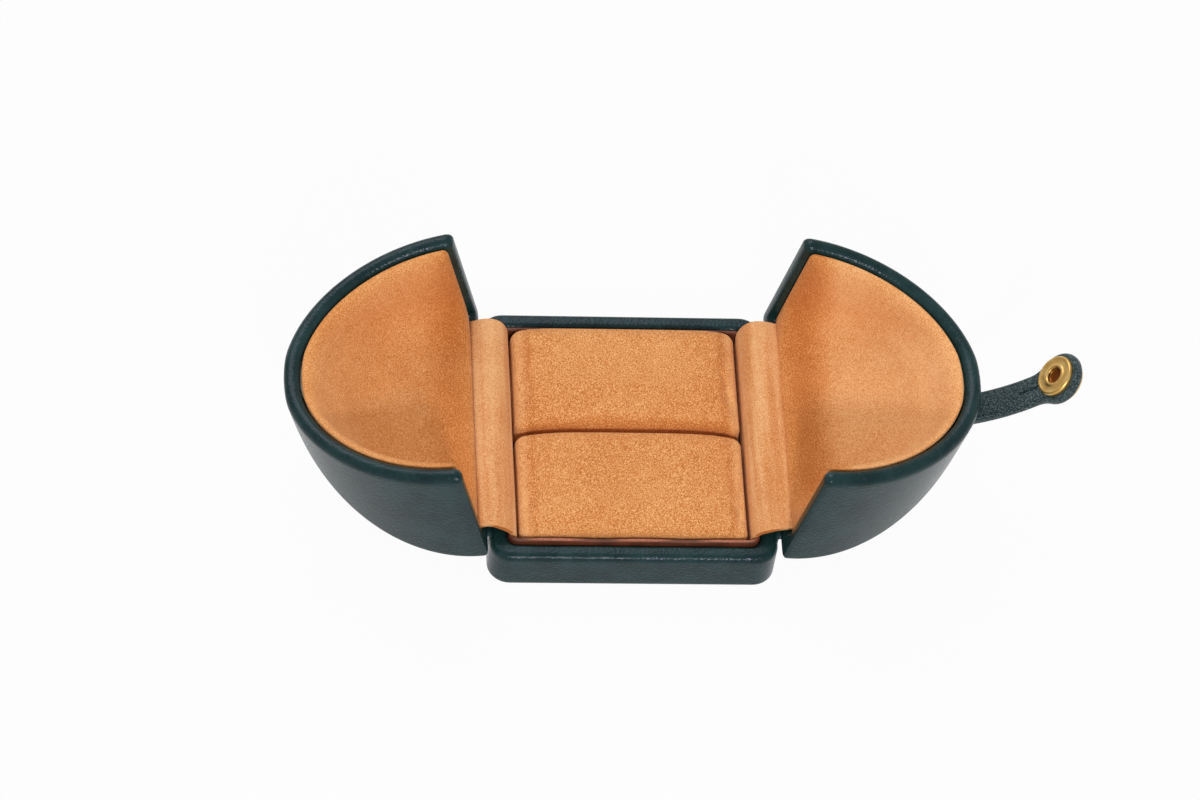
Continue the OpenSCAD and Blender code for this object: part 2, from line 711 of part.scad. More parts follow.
module snap_cap() {
    crest = strap_t/2 + cap_h;
    color(brass) strap_opened() at_snap() rotate_extrude($fn = round_fn) polygon([
        [0, cup_z - brass_t - glue_t - rolled_t], [rolled_r - 0.1, cup_z - brass_t - glue_t - rolled_t],
        [rolled_r, cup_z - brass_t - glue_t - rolled_t/2], [rolled_r, cup_z - brass_t - glue_t],
        [post_r, cup_z - brass_t - glue_t], [post_r, cap_z], [cap_r, cap_z], [cap_r, cap_z + 0.4*cap_h],
        [0.9*cap_r, crest - 0.25*cap_h], [0.7*cap_r, crest - 0.08*cap_h], [0.4*cap_r, crest], [0, crest]]);
}

module snap_stud() {
    top = flange_z + flange_t;
    color(brass) opened(-1) at_snap() rotate_extrude($fn = round_fn) polygon([
        [0, flange_z - rivet_web - washer_t - 0.2], [0.6*post_r, flange_z - rivet_web - washer_t - 0.2],
        [0.6*post_r, flange_z - rivet_web], [post_r, flange_z - rivet_web], [post_r, flange_z],
        [flange_r, flange_z], [flange_r, top - 0.3], [flange_r - 0.3, top], [0.8*stud_r, top],
        [0.75*stud_r, top + 0.4*stud_h], [stud_r, top + 0.7*stud_h], [0.85*stud_r, top + 0.9*stud_h],
        [0.5*stud_r, top + stud_h], [0, top + stud_h]]);
}

module stud_rivet() {
    color(brass) opened(-1) at_snap() translate([0, 0, flange_z - rivet_web - glue_t - washer_t]) difference() {
        cylinder(r = washer_r, h = washer_t, $fn = round_fn);
        translate([0, 0, -cut]) cylinder(r = 0.6*post_r + glue_t, h = washer_t + 2*cut, $fn = round_fn);
    }
}

base_board();
base_cover();
underside_panel();
tray_band();
cushion_card();
cushion_foam(1);  // rear_foam
cushion_cover(1);  // rear_cushion
cushion_foam(-1);  // front_foam
cushion_cover(-1);  // front_cushion
outer_leather(left_open_angle);  // left_hinge_leather
mirror([1, 0, 0]) outer_leather(right_open_angle);  // right_hinge_leather
suede_strip(left_open_angle);  // left_hinge_suede
mirror([1, 0, 0]) suede_strip(right_open_angle);  // right_hinge_suede
left_lid_board();
left_lid_cover();
lining_former_at(-1);  // left_lining_former
lid_lining_at(-1);  // left_lid_lining
snap_stud();
stud_rivet();
right_lid_board();
right_lid_cover();
lining_former_at(1);  // right_lining_former
lid_lining_at(1);  // right_lid_lining
strap_anchor();
strap_stiffener();
strap_leather();
snap_cap();
snap_socket();
snap_spring();
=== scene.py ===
import bmesh
import bpy
import numpy as np
from mathutils import Matrix


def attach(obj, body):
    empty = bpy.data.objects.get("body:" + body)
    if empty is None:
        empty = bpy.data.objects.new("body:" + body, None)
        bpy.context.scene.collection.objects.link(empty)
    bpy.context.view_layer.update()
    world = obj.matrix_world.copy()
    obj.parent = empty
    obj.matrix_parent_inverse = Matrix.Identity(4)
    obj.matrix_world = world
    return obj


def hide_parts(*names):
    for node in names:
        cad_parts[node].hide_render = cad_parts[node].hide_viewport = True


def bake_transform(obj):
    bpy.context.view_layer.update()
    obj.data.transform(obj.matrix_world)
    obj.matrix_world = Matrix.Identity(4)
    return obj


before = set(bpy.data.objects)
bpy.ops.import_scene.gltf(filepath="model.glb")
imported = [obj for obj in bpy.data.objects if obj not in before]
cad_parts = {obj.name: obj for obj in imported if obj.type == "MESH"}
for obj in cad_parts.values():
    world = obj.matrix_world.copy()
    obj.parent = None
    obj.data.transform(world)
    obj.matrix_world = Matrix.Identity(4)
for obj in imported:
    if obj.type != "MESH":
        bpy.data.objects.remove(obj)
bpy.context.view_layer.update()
MM = 0.001


# ---- Camera: a long lens from the front, above and slightly to the left ----

camera = bpy.data.objects.new("camera", bpy.data.cameras.new("camera"))
bpy.context.scene.collection.objects.link(camera)
camera.data.lens = 150.0
camera.data.clip_end = 10.0
right = (0.994615, -0.048092, 0.091810)
up = (-0.012612, 0.823083, 0.567781)
look = (0.102873, 0.565881, -0.818044)
camera.matrix_world = Matrix(
    [
        [right[0], up[0], -look[0], -113.66 * MM],
        [right[1], up[1], -look[1], -586.39 * MM],
        [right[2], up[2], -look[2], 871.32 * MM],
        [0, 0, 0, 1],
    ]
)
bpy.context.scene.camera = camera


# ---- Floor and light: a white table under two soft lamps and a pale sky ----


class Sock:
    """A shader socket or a number, with the operators that add Math nodes."""

    def __init__(self, net, socket):
        self.net, self.socket = net, socket

    def _math(self, operation, *values):
        return self.net.add("ShaderNodeMath", {"operation": operation}, dict(enumerate(values)))

    def __add__(self, other):
        return self._math("ADD", self, other)

    def __sub__(self, other):
        return self._math("SUBTRACT", self, other)

    def __rsub__(self, other):
        return self._math("SUBTRACT", other, self)

    def __mul__(self, other):
        return self._math("MULTIPLY", self, other)

    def __truediv__(self, other):
        return self._math("DIVIDE", self, other)

    def __pow__(self, other):
        return self._math("POWER", self, other)

    def __abs__(self):
        return self._math("ABSOLUTE", self)

    __radd__ = __add__
    __rmul__ = __mul__

    def least(self, other):
        return self._math("MINIMUM", self, other)

    def most(self, other):
        return self._math("MAXIMUM", self, other)

    def ramp(self, low, high, a=0.0, b=1.0):
        """Smooth step from a to b as the value goes from low to high."""
        return self.net.add(
            "ShaderNodeMapRange",
            {"interpolation_type": "SMOOTHSTEP"},
            {0: self, 1: low, 2: high, 3: a, 4: b},
        )


class Finish:
    """A material, and the nodes added to it."""

    def __init__(self, name):
        self.material = bpy.data.materials.new(name)
        self.material.use_nodes = True
        self.tree = self.material.node_tree
        self.shader = self.tree.nodes["Principled BSDF"]
        self.output = self.tree.nodes["Material Output"]

    def add(self, kind, settings, sockets, out=0):
        """A node of one kind: its settings first, then the values or links of its sockets."""
        node = self.tree.nodes.new(kind)
        for name, value in settings.items():
            if name == "stops":
                for k, (position, colour) in enumerate(value):
                    elements = node.color_ramp.elements
                    stop = elements[k] if k < len(elements) else elements.new(position)
                    stop.position, stop.color = position, (*colour, 1.0)
            else:
                setattr(node, name, value)
        for name, value in sockets.items():
            self.put(node.inputs[name], value)
        return Sock(self, node.outputs[out])

    def put(self, socket, value):
        if isinstance(value, Sock):
            self.tree.links.new(value.socket, socket)
        elif hasattr(socket.default_value, "__len__") and len(socket.default_value) == 4:
            socket.default_value = (*value, 1.0)
        else:
            socket.default_value = value

    def set(self, **values):
        """Values or links of the shader's sockets, with _ for each space in a name."""
        for name, value in values.items():
            self.put(self.shader.inputs[name.replace("_", " ")], value)

    def place(self):
        return self.add("ShaderNodeTexCoord", {}, {}, "Object")

    def along(self, where, axis):
        """The place along one axis: 0 for x, 1 for y, 2 for z."""
        return self.add("ShaderNodeSeparateXYZ", {}, {"Vector": where}, axis)

    def noise(self, where, scale, detail=2.0, rough=0.5, warp=0.0):
        return self.add(
            "ShaderNodeTexNoise",
            {},
            {"Vector": where, "Scale": scale, "Detail": detail, "Roughness": rough, "Distortion": warp},
        )

    def mix(self, share, one, two):
        """The colour one, turning into two as share goes from 0 to 1."""
        node = self.tree.nodes.new("ShaderNodeMix")
        node.data_type = "RGBA"
        for socket, value in ((0, share), (6, one), (7, two)):
            self.put(node.inputs[socket], value)
        return Sock(self, node.outputs[2])

    def bump(self, height, strength, distance):
        return self.add(
            "ShaderNodeBump", {}, {"Height": height, "Strength": strength, "Distance": distance}
        )


def linear(r, g, b):
    """Scene colour of an sRGB colour given in 0 to 255."""
    c = np.array([r, g, b]) / 255.0
    return tuple(float(v) for v in np.where(c < 0.04045, c / 12.92, ((c + 0.055) / 1.055) ** 2.4))


def mesh_object(name, points, faces, material):
    """An object at the origin with these points in millimetres and these faces."""
    mesh = bpy.data.meshes.new(name)
    faces = faces if isinstance(faces, list) else faces.tolist()
    mesh.from_pydata((np.asarray(points, float) * MM).tolist(), [], faces)
    mesh.validate()
    mesh.polygons.foreach_set("use_smooth", np.full(len(mesh.polygons), True))
    mesh.materials.append(material)
    obj = bpy.data.objects.new(name, mesh)
    bpy.context.scene.collection.objects.link(obj)
    return obj


paper = Finish("white_table")
paper.set(Base_Color=(0.5, 0.51, 0.53), Roughness=0.8)
ray = paper.tree.nodes.new("ShaderNodeLightPath")
seen = Sock(paper, ray.outputs["Is Camera Ray"]).most(Sock(paper, ray.outputs["Is Glossy Ray"]))
seen = seen.most(Sock(paper, ray.outputs["Is Transmission Ray"]))
white = paper.add("ShaderNodeEmission", {}, {"Color": (1.0, 1.0, 1.0), "Strength": 1.0})
table_top = mesh_object(
    "table_top",
    [[-4000, -4000, 0], [4000, -4000, 0], [4000, 4000, 0], [-4000, 4000, 0]],
    [[0, 1, 2, 3]],
    paper.material,
)
share = paper.add("ShaderNodeMath", {"operation": "MULTIPLY"}, {0: seen, 1: 0.96})
blended = paper.add(
    "ShaderNodeMixShader", {}, {0: share, 1: Sock(paper, paper.shader.outputs[0]), 2: white}
)
paper.tree.links.new(blended.socket, paper.output.inputs["Surface"])

world = bpy.data.worlds.new("studio")
world.use_nodes = True
bpy.context.scene.world = world
sky = world.node_tree.nodes["Background"]
sky.inputs["Color"].default_value = (1.0, 1.0, 1.0, 1.0)
sky.inputs["Strength"].default_value = 0.62


def panel(name, place, aim, size, power):
    """A square soft light at place, facing aim, in metres and watts."""
    light = bpy.data.lights.new(name, "AREA")
    light.size, light.energy = size, power
    obj = bpy.data.objects.new(name, light)
    bpy.context.scene.collection.objects.link(obj)
    back = np.array(place, float) - np.array(aim, float)
    back /= np.linalg.norm(back)
    side = np.cross([0.0, 0.0, 1.0], back)
    side /= np.linalg.norm(side)
    turned = np.stack([side, np.cross(back, side), back], axis=1)
    obj.matrix_world = Matrix.Translation(place) @ Matrix(turned.tolist()).to_4x4()


panel("key", (0.04, -0.78, 0.56), (0, 0, 0.02), 0.1, 4.4)
panel("over", (-0.2, 0.62, 0.75), (0, 0, 0.02), 0.7, 4.2)

bpy.context.scene.view_settings.view_transform = "Standard"


# ---- Lids: dark green leather over half-dome boards ----
# Each lid is moulded board under smooth calf leather, which is glued down, turned over
# the rim and turned in. Two barrel vaults cross in it, and their ridges run to the hinge.

LID_L, LID_B, LID_H = 29.85, 31.0, 36.7
ARCH, ROOF = 1.9, 2.1
RIM_W = 3.4
HINGE_X, HINGE_Z, HINGE_GAP = 30.0, 11.3, 0.6
OPEN = {"left": 105.0, "right": 101.0}
RIDGE_LEAST, RIDGE_GROWTH = 0.3, 0.75
# Length of the probes for the gap's slope, and limits that keep each move steady
PROBE, SLOPE_LEAST, MOVE_MOST = 0.002, 0.02, 3.0


def roof_z(a, s):
    """Height of the roof at distance a from the mating face, drawn in by s: a superellipse."""
    share = np.clip(np.asarray(a, float), 0, None) / (LID_L - s)
    return (LID_H - s) * np.clip(1 - share**ROOF, 0, 1) ** (1 / ROOF)


def roof_a(v, s):
    """Distance from the mating face to the roof at height v, drawn in by s."""
    share = np.clip(np.asarray(v, float), 0, None) / (LID_H - s)
    return (LID_L - s) * np.clip(1 - share**ROOF, 0, 1) ** (1 / ROOF)


def arch_y(v, s):
    """Half width of the arch at height v, drawn in by s: a superellipse."""
    share = np.clip(np.asarray(v, float), 0, None) / (LID_H - s)
    return (LID_B - s) * np.clip(1 - share**ARCH, 0, 1) ** (1 / ARCH)


def vault_gap(p, s, ridge):
    """Distance of points (a, y, v) from the dome drawn in by s, below 0 inside it.

    Each vault gives g - 1 over the length of g's gradient, with g the superellipse's
    root form. The two join with radius ridge: the root of the sum of squares less ridge.
    The radius shrinks towards the mating face, down to RIDGE_LEAST.
    """
    a, y, v = np.abs(p[:, 0]) + 1e-6, np.abs(p[:, 1]) + 1e-6, np.clip(p[:, 2], 1e-6, None)
    h = LID_H - s

    def one(q, size, power):
        x, z = q / size, v / h
        g = (x**power + z**power) ** (1 / power)
        slope = np.hypot((x / g) ** (power - 1) / size, (z / g) ** (power - 1) / h)
        return (g - 1) / slope

    r = np.clip(RIDGE_GROWTH * p[:, 0] + RIDGE_LEAST, RIDGE_LEAST, ridge)
    d = np.stack([one(y, LID_B - s, ARCH), one(a, LID_L - s, ROOF)]) + r
    return np.where(d.min(axis=0) > 0, np.hypot(*d) - r, d.max(axis=0) - r)


def onto_vault(p, s, ridge, held, times=12):
    """Points moved down the gap's slope onto the dome drawn in by s, each kept in the
    plane across its vector held; a zero vector leaves the point free."""
    p = p.copy()
    s = np.broadcast_to(s, len(p))
    for _ in range(times):
        d = vault_gap(p, s, ridge)
        slope = np.stack(
            [
                (vault_gap(p + step, s, ridge) - vault_gap(p - step, s, ridge)) / (2 * PROBE)
                for step in np.eye(3) * PROBE
            ],
            axis=1,
        )
        slope -= (slope * held).sum(axis=1, keepdims=True) * held
        size = np.maximum((slope**2).sum(axis=1), SLOPE_LEAST)
        p -= np.clip(d / size, -MOVE_MOST, MOVE_MOST)[:, None] * slope
    return p


def crowded(n, power):
    """n + 1 values from -1 to 1, closest together at both ends."""
    t = np.linspace(-1, 1, n + 1)
    return np.sign(t) * (1 - (1 - np.abs(t)) ** power)


# Rows of the dome's grid from the mating face to the hinge, and points up a side and across
ROWS, SIDE, ACROSS = 56, 40, 48
STEEP = 1 - (1 - np.linspace(0, 1, SIDE + 1)) ** 1.5
SPREAD = crowded(ACROSS, 1.5)
FALL = np.sin(np.linspace(0, np.pi / 2, ROWS + 1)) ** (2 / ROOF)
FALL = FALL / FALL[-1]
# Angles of the points in the rounded corner between the mating face and the lower face
NOOK = np.radians([75.0, 45.0, 15.0])


def section(a, s, low):
    """Points (a, y, v) of the dome's section at distance a: up one side, across, down."""
    top = float(max(roof_z(a, s), low))
    v = np.concatenate([low + (top - low) * STEEP, np.full(ACROSS - 1, top)])
    v = np.concatenate([v, (low + (top - low) * STEEP)[::-1]])
    y = arch_y(v, s)
    y[: SIDE + 1] *= -1
    y[SIDE : SIDE + ACROSS + 1] = arch_y(top, s) * SPREAD
    return np.stack([np.full(len(v), a), y, v], axis=1)


def edge_ring(step, corner_r):
    """One ring of an edge, before it is moved onto the dome: points, insets, held vectors.

    It runs along the left side to the mating face, up and over the arch, back along the
    right side and across the back. corner_r rounds the corner of the two faces.
    """
    depth, inset, height, low_inset = step[:4]
    corner_a, corner_v = max(corner_r, depth), max(corner_r, height)
    far = float(roof_a(height, low_inset))
    rows = corner_a + (far - corner_a) * FALL
    level = np.full(ROWS + 1, height)
    side = np.stack([rows, -arch_y(level, low_inset), level], axis=1)
    turn = np.stack([np.cos(NOOK), 0 * NOOK, np.sin(NOOK)], axis=1)
    reach_a, reach_v = max(corner_r - depth, 0), max(corner_r - height, 0)
    nook_a, nook_v = corner_a - reach_a * turn[:, 0], corner_v - reach_v * turn[:, 2]
    nook_inset = inset + (low_inset - inset) * NOOK / (np.pi / 2)
    nook = np.stack([nook_a, -arch_y(nook_v, nook_inset), nook_v], axis=1)
    back = section(far, low_inset, height)[SIDE + 1 : SIDE + ACROSS]
    mirror = np.array([1, -1, 1])
    parts = [
        (side[::-1], low_inset, (0, 0, 1)),
        (nook, nook_inset, turn),
        (section(depth, inset, corner_v), inset, (1, 0, 0)),
        (nook[::-1] * mirror, nook_inset[::-1], turn[::-1]),
        (side * mirror, low_inset, (0, 0, 1)),
        (back[::-1], low_inset, (0, 0, 1)),
    ]
    points = np.concatenate([part[0] for part in parts])
    insets = np.concatenate([np.broadcast_to(part[1], len(part[0])) for part in parts])
    held = np.concatenate([np.broadcast_to(part[2], part[0].shape) for part in parts])
    return points, insets, held.astype(float)


def dome_surface(steps, ridge, corner_r=1.0, evened=0):
    """Points and faces of one skin of the dome, with its edge turned over.

    steps lists (depth below the mating face, inset there, height above the lower face,
    inset there), with a ridge's own radius last where it differs. The skin is a grid of
    sections at the first step; each later step adds a ring round its edge. Ring points lie
    on the dome drawn in by the step's inset. evened is how often each inner point of the
    grid moves to the mean of its neighbours.
    """
    rings = []
    for step in steps:
        points, insets, held = edge_ring(step, corner_r)
        rings.append(onto_vault(points, insets, step[4] if len(step) > 4 else ridge, held))
    depth, inset, height, low_inset = steps[0][:4]
    far = float(roof_a(height, low_inset))
    grid = np.stack([section(a, inset, height) for a in depth + (far - depth) * FALL])
    flat = grid.reshape(-1, 3)
    grid = onto_vault(flat, inset, ridge, np.zeros_like(flat)).reshape(grid.shape)
    n_side, n_nook, n_mate = ROWS + 1, len(NOOK), grid.shape[1]
    first = rings[0]
    at = np.cumsum([0, n_side, n_nook, n_mate, n_nook, n_side])
    grid[:, 0] = first[at[0] : at[1]][::-1]
    grid[:, -1] = first[at[4] : at[5]]
    grid[0] = first[at[2] : at[3]]
    grid[0, 0], grid[0, -1] = first[at[1] - 1], first[at[4]]
    grid[-1, SIDE + 1 : SIDE + ACROSS] = first[at[5] :][::-1]
    grid[-1, : SIDE + 1] = grid[-1, 0]
    grid[-1, SIDE + ACROSS :] = grid[-1, -1]
    for _ in range(evened):
        mean = (grid[:-2, 1:-1] + grid[2:, 1:-1] + grid[1:-1, :-2] + grid[1:-1, 2:]) / 4
        flat = mean.reshape(-1, 3)
        flat = onto_vault(flat, inset, ridge, np.zeros_like(flat), 2)
        grid[1:-1, 1:-1] = flat.reshape(mean.shape)
    count = grid.shape[0] * grid.shape[1]
    index = np.arange(count).reshape(grid.shape[:2])
    quads = np.stack([index[:-1, :-1], index[:-1, 1:], index[1:, 1:], index[1:, :-1]], axis=-1)
    faces = [quads.reshape(-1, 4)]
    size = len(first)
    loop = count + np.arange(size)
    for k in range(len(rings) - 1):
        one, two = loop + k * size, loop + (k + 1) * size
        faces.append(np.stack([one, np.roll(one, -1), np.roll(two, -1), two], axis=-1))
    return np.concatenate([grid.reshape(-1, 3), *rings]), np.concatenate(faces)


def in_lid(u, v, side):
    """Place (x, z), as on the left, of a point in the open lid: u from its hinge, v above
    its lower face. The lid is turned about the hinge by its opening angle."""
    c, s = np.cos(np.radians(OPEN[side])), np.sin(np.radians(OPEN[side]))
    v = v + HINGE_GAP / 2
    return np.array([u * c - v * s - HINGE_X, u * s + v * c + HINGE_Z])


def into_box(p, side):
    """Points (a, y, v) of a lid at its open place, with u = LID_L - a."""
    x, z = in_lid(LID_L - p[:, 0], p[:, 2], side)
    return np.stack([x if side == "left" else -x, p[:, 1], z], axis=1)


def tidy_mesh(obj, gap=0.004):
    """Points within gap millimetres joined, and faces turned outwards."""
    mesh = bmesh.new()
    mesh.from_mesh(obj.data)
    bmesh.ops.remove_doubles(mesh, verts=mesh.verts, dist=gap * MM)
    bmesh.ops.dissolve_degenerate(mesh, edges=mesh.edges, dist=gap * MM)
    bmesh.ops.recalc_face_normals(mesh, faces=mesh.faces)
    mesh.to_mesh(obj.data)
    mesh.free()
    obj.data.polygons.foreach_set("use_smooth", np.full(len(obj.data.polygons), True))


def turned_edge(r_mate, r_low, width, inner_r, depth):
    """Steps of an edge turned over: a quarter round, the flat rim, a quarter round, the wall."""
    steps = []
    for q in np.linspace(0, np.pi / 2, 6):
        d, s = 1 - np.sin(q), 1 - np.cos(q)
        steps.append((r_mate * d, r_mate * s, r_low * d, r_low * s))
    flat = width - inner_r
    for share in (0.35, 0.7):
        steps.append((0.0, r_mate + (flat - r_mate) * share, 0.0, r_low + (flat - r_low) * share))
    for q in np.linspace(0, np.pi / 2, 4):
        d, s = inner_r * (1 - np.cos(q)), flat + inner_r * np.sin(q)
        steps.append((d, s, d, s))
    steps.append((depth, width, depth, width))
    return steps


def green_leather(name, wear_and_highlight_colour=(60, 84, 88), wrinkled=False):
    """Smooth dark green calf: fine pores, slow shifts of tone, paler where it is scuffed; when
    wrinkled, its wrinkle crests are painted paler too, as a painted highlight.
    """
    skin = Finish(name)
    where = skin.place()
    grain = skin.add(
        "ShaderNodeTexVoronoi",
        {"feature": "SMOOTH_F1"},
        {"Vector": where, "Scale": 2100.0, "Smoothness": 0.6},
    )
    pores = skin.noise(where, 5200.0, 3.0, 0.6)
    cloud = skin.noise(where, 160.0, 3.0, 0.55)
    tone = cloud.ramp(0.32, 0.7)
    wear_and_crest_highlight = skin.noise(where, 900.0, 4.0, 0.65).ramp(0.5, 0.78) * 0.25
    base = skin.mix(tone, linear(14, 38, 37), linear(26, 52, 51))
    height = grain * 0.7 + pores * 0.3
    if wrinkled:
        lines = skin.noise(where, 4200.0, 2.0, 0.5, 0.9)
        height = height + lines.ramp(0.4, 0.6) * 1.5
        # Painted highlight on the wrinkle crests: they are painted paler.
        wear_and_crest_highlight = wear_and_crest_highlight + lines.ramp(0.42, 0.66) * 0.75
    skin.set(
        Base_Color=skin.mix(wear_and_crest_highlight, base, linear(*wear_and_highlight_colour)),
        Roughness=0.15 + cloud * 0.08 + pores * 0.06,
        Specular_IOR_Level=0.22,
        Specular_Tint=(0.8, 0.78, 1.0),
        Normal=skin.bump(height, 0.9 if wrinkled else 0.6, 0.00016),
    )
    return skin.material


leather = green_leather("green_leather")

for side in ("left", "right"):
    points, faces = dome_surface(turned_edge(1.6, 0.9, RIM_W, 1.5, 5.0), 1.1, 1.7)
    cover = mesh_object(f"{side}_cover_leather", into_box(points, side), faces, leather)
    tidy_mesh(cover)
    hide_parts(f"{side}_lid_cover")
    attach(cover, f"{side}_lid")


# ---- Lid linings: suede over moulded formers ----
# A tan split suede is drawn over the former's large hollow and folded over its edge, and
# the whole insert is glued into the lid a little below the rim.


def suede(
    name,
    pale=(238, 183, 128),
    mid=(215, 142, 80),
    dark=(178, 102, 44),
    nap_scale=2100.0,
    drawn=1.5,
    contrast=0.45,
    shade=None,
    depth=0.0003,
):
    """Tan suede: a short nap, pale where it leans to the light and darker where it parts.

    drawn is how much longer its tufts are than wide. shade(nap, where) gives a slow change
    of tone over the piece, from -1 for dark to 1 for pale; on the linings and pads it holds
    painted light and shade.
    """
    nap = Finish(name)
    where = nap.place()
    leaning = nap.add(
        "ShaderNodeMapping",
        {"vector_type": "TEXTURE"},
        {"Vector": where, "Rotation": (0.0, 0.0, -0.65), "Scale": (1.0, drawn, 1.0)},
    )
    patch = nap.noise(where, 75.0, 2.0, 0.5, 0.4)
    blot = nap.noise(where, 330.0, 3.0, 0.55, 0.6)
    tuft = nap.noise(leaning, nap_scale, 2.0, 0.55, 0.5)
    speck = nap.noise(where, 6400.0, 2.0, 0.6)
    slow = patch * 0.9 + blot * 0.5 - 0.7
    if shade:
        slow = slow + shade(nap, where)
    grain = tuft * 0.8 + speck * 0.2 - 0.5
    level = slow * 0.9 + grain * (contrast * 6.0)
    tone = nap.mix(level.ramp(0.0, 1.0), linear(*mid), linear(*pale))
    nap.set(
        Base_Color=nap.mix(level.ramp(0.0, -1.0), tone, linear(*dark)),
        Roughness=0.97,
        Sheen_Weight=0.2,
        Sheen_Roughness=0.5,
        Sheen_Tint=linear(255, 220, 180),
        Specular_IOR_Level=0.2,
        Normal=nap.bump(tuft * 0.8 + speck * 0.3 + blot * 0.4, 0.5, depth),
    )
    return nap.material


def bell(value, middle, width):
    """Shader form of a bump of height 1 at middle, 0 beyond width to its sides."""
    return abs(value - middle).ramp(width, 0.0)


def lid_painted_light_and_shade(nap, where):
    """Painted shade in the fold near each hinge, and painted light over the right lining beyond it."""
    x = nap.along(where, 0)
    return bell(abs(x), 0.0365, 0.008) * -0.75 + x.ramp(0.038, 0.046) * 0.45


# The linings carry painted shade near the hinges and painted light on the right lid.
tan = suede("tan_suede", nap_scale=5200.0, contrast=1.0, shade=lid_painted_light_and_shade)

# Depth, inset and ridge radius of each ring, from inside the hollow round its lip to the back
LINING_RINGS = [
    (6.0, 6.2, 9), (4.6, 6.15, 9), (3.4, 6.0, 9), (2.4, 5.75, 9), (1.65, 5.35, 9), (1.2, 4.9, 9),
    (1.0, 4.5, 8.5), (0.95, 4.15, 5), (1.1, 3.88, 1.5), (1.45, 3.74, 1), (2.4, 3.7, 1), (4.5, 3.7, 1),
]
LINING_LIFT, HOLLOW_R = 0.35, 9.0

for side in ("left", "right"):
    steps = [(depth, inset, depth + LINING_LIFT, inset, r) for depth, inset, r in LINING_RINGS]
    points, faces = dome_surface(steps, HOLLOW_R, 2.4, 90)
    lining = mesh_object(f"{side}_lining_suede", into_box(points, side), faces[:, ::-1], tan)
    tidy_mesh(lining)
    lining.data.flip_normals()
    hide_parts(f"{side}_lid_lining")
    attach(lining, f"{side}_lid")


# ---- Base cover: the same leather over the tray's board ----
# One piece of leather, drawn down over the rim's rounded edge and the walls and turned
# under, and up over the rim and down into the well. Its corners are skived and folded.

BASE_W, BASE_D, BASE_H = 60.0, 62.0, 11.0
FOOT_R, RIM_R, WELL_R = 1.2, 1.4, 1.2


def rounded_box(inset, z, corner=4.6, ease=0.62, straight=24, bend=10):
    """Points round a rectangle drawn in by inset, anticlockwise, with quarter-round corners."""
    hx, hy, r = BASE_W / 2 - inset, BASE_D / 2 - inset, max(corner - ease * inset, 0.3)
    angle = np.radians(np.linspace(0, 90, bend + 1))
    share = np.linspace(0, 1, straight + 1)[1:-1, None]
    points = []
    for k, (sx, sy) in enumerate(((1, 1), (-1, 1), (-1, -1), (1, -1))):
        turn = angle + k * np.pi / 2
        x, y = sx * (hx - r) + r * np.cos(turn), sy * (hy - r) + r * np.sin(turn)
        points.append(np.stack([x, y], axis=1))
    rows = []
    for k in range(4):
        end, start = points[k][-1], points[(k + 1) % 4][0]
        rows += [points[k], end + (start - end) * share]
    flat = np.concatenate(rows)
    return np.column_stack([flat, np.full(len(flat), z)])


def loft(rings, ends=False):
    """Points and quads of a skin through closed rings, with a fan over each end if asked."""
    n, size = len(rings), len(rings[0])
    index = np.arange(n * size).reshape(n, size)
    after = np.roll(index, -1, axis=1)
    quads = np.stack([index[:-1], after[:-1], after[1:], index[1:]], axis=-1).reshape(-1, 4)
    points, faces = np.concatenate(rings), quads.tolist()
    if ends:
        points = np.concatenate([points, rings[0].mean(axis=0)[None], rings[-1].mean(axis=0)[None]])
        faces += [[int(after[0, i]), int(index[0, i]), n * size] for i in range(size)]
        faces += [[int(index[-1, i]), int(after[-1, i]), n * size + 1] for i in range(size)]
    return points, faces


def quarter(cx, cz, r, start, end, n=8):
    """Points (inset, z) of an arc in a wall's section, angles from the outward direction."""
    q = np.radians(np.linspace(start, end, n + 1))
    return [(cx - r * np.cos(a), cz + r * np.sin(a)) for a in q]


# Inset and height from the turned-under edge, up the wall, over the rim and into the well
profile = [(8.7, 0.9), (8.6, 0.72), (5.5, 0.7)]
profile += quarter(FOOT_R, 1.9, FOOT_R, -90, 0)
profile += [(0.0, z) for z in (3.0, 4.5, 6.0, 7.5, 9.0)]
profile += quarter(RIM_R, BASE_H - RIM_R, RIM_R, 0, 90)
profile += [(1.9, BASE_H), (2.3, BASE_H)]
for q in np.radians([0, 15, 30, 45, 60, 75, 90]):
    profile.append((2.5 + WELL_R * np.sin(q), BASE_H - WELL_R + WELL_R * np.cos(q)))
profile += [(3.7, 9.0), (3.7, 6.0)]
base_skin = loft([rounded_box(inset, z) for inset, z in profile])
base_cover = mesh_object("base_cover_leather", *base_skin, leather)
tidy_mesh(base_cover)
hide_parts("base_cover")
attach(base_cover, "base")


# ---- Tray band: brown leather round the well ----
# A strip of thin vegetable-tanned leather stands on edge round the well, glued to its wall.
# It shows above the rim in front and behind, with its cut edge paler.


def brown_leather(name):
    """Reddish brown leather, with its cut edge paler."""
    hide = Finish(name)
    where = hide.place()
    height = hide.along(where, 2)
    pores = hide.noise(where, 2600.0, 3.0, 0.6)
    slow = hide.noise(where, 260.0, 3.0, 0.5)
    wall = hide.mix(slow.ramp(0.3, 0.7), linear(80, 38, 18), linear(106, 52, 28))
    edge = hide.mix(pores.ramp(0.35, 0.65), linear(136, 70, 44), linear(176, 106, 78))
    hide.set(
        Base_Color=hide.mix(height.ramp(0.01176, 0.01188), wall, edge),
        Roughness=0.5 + pores * 0.15,
        Normal=hide.bump(pores, 0.3, 0.0002),
    )
    return hide.material


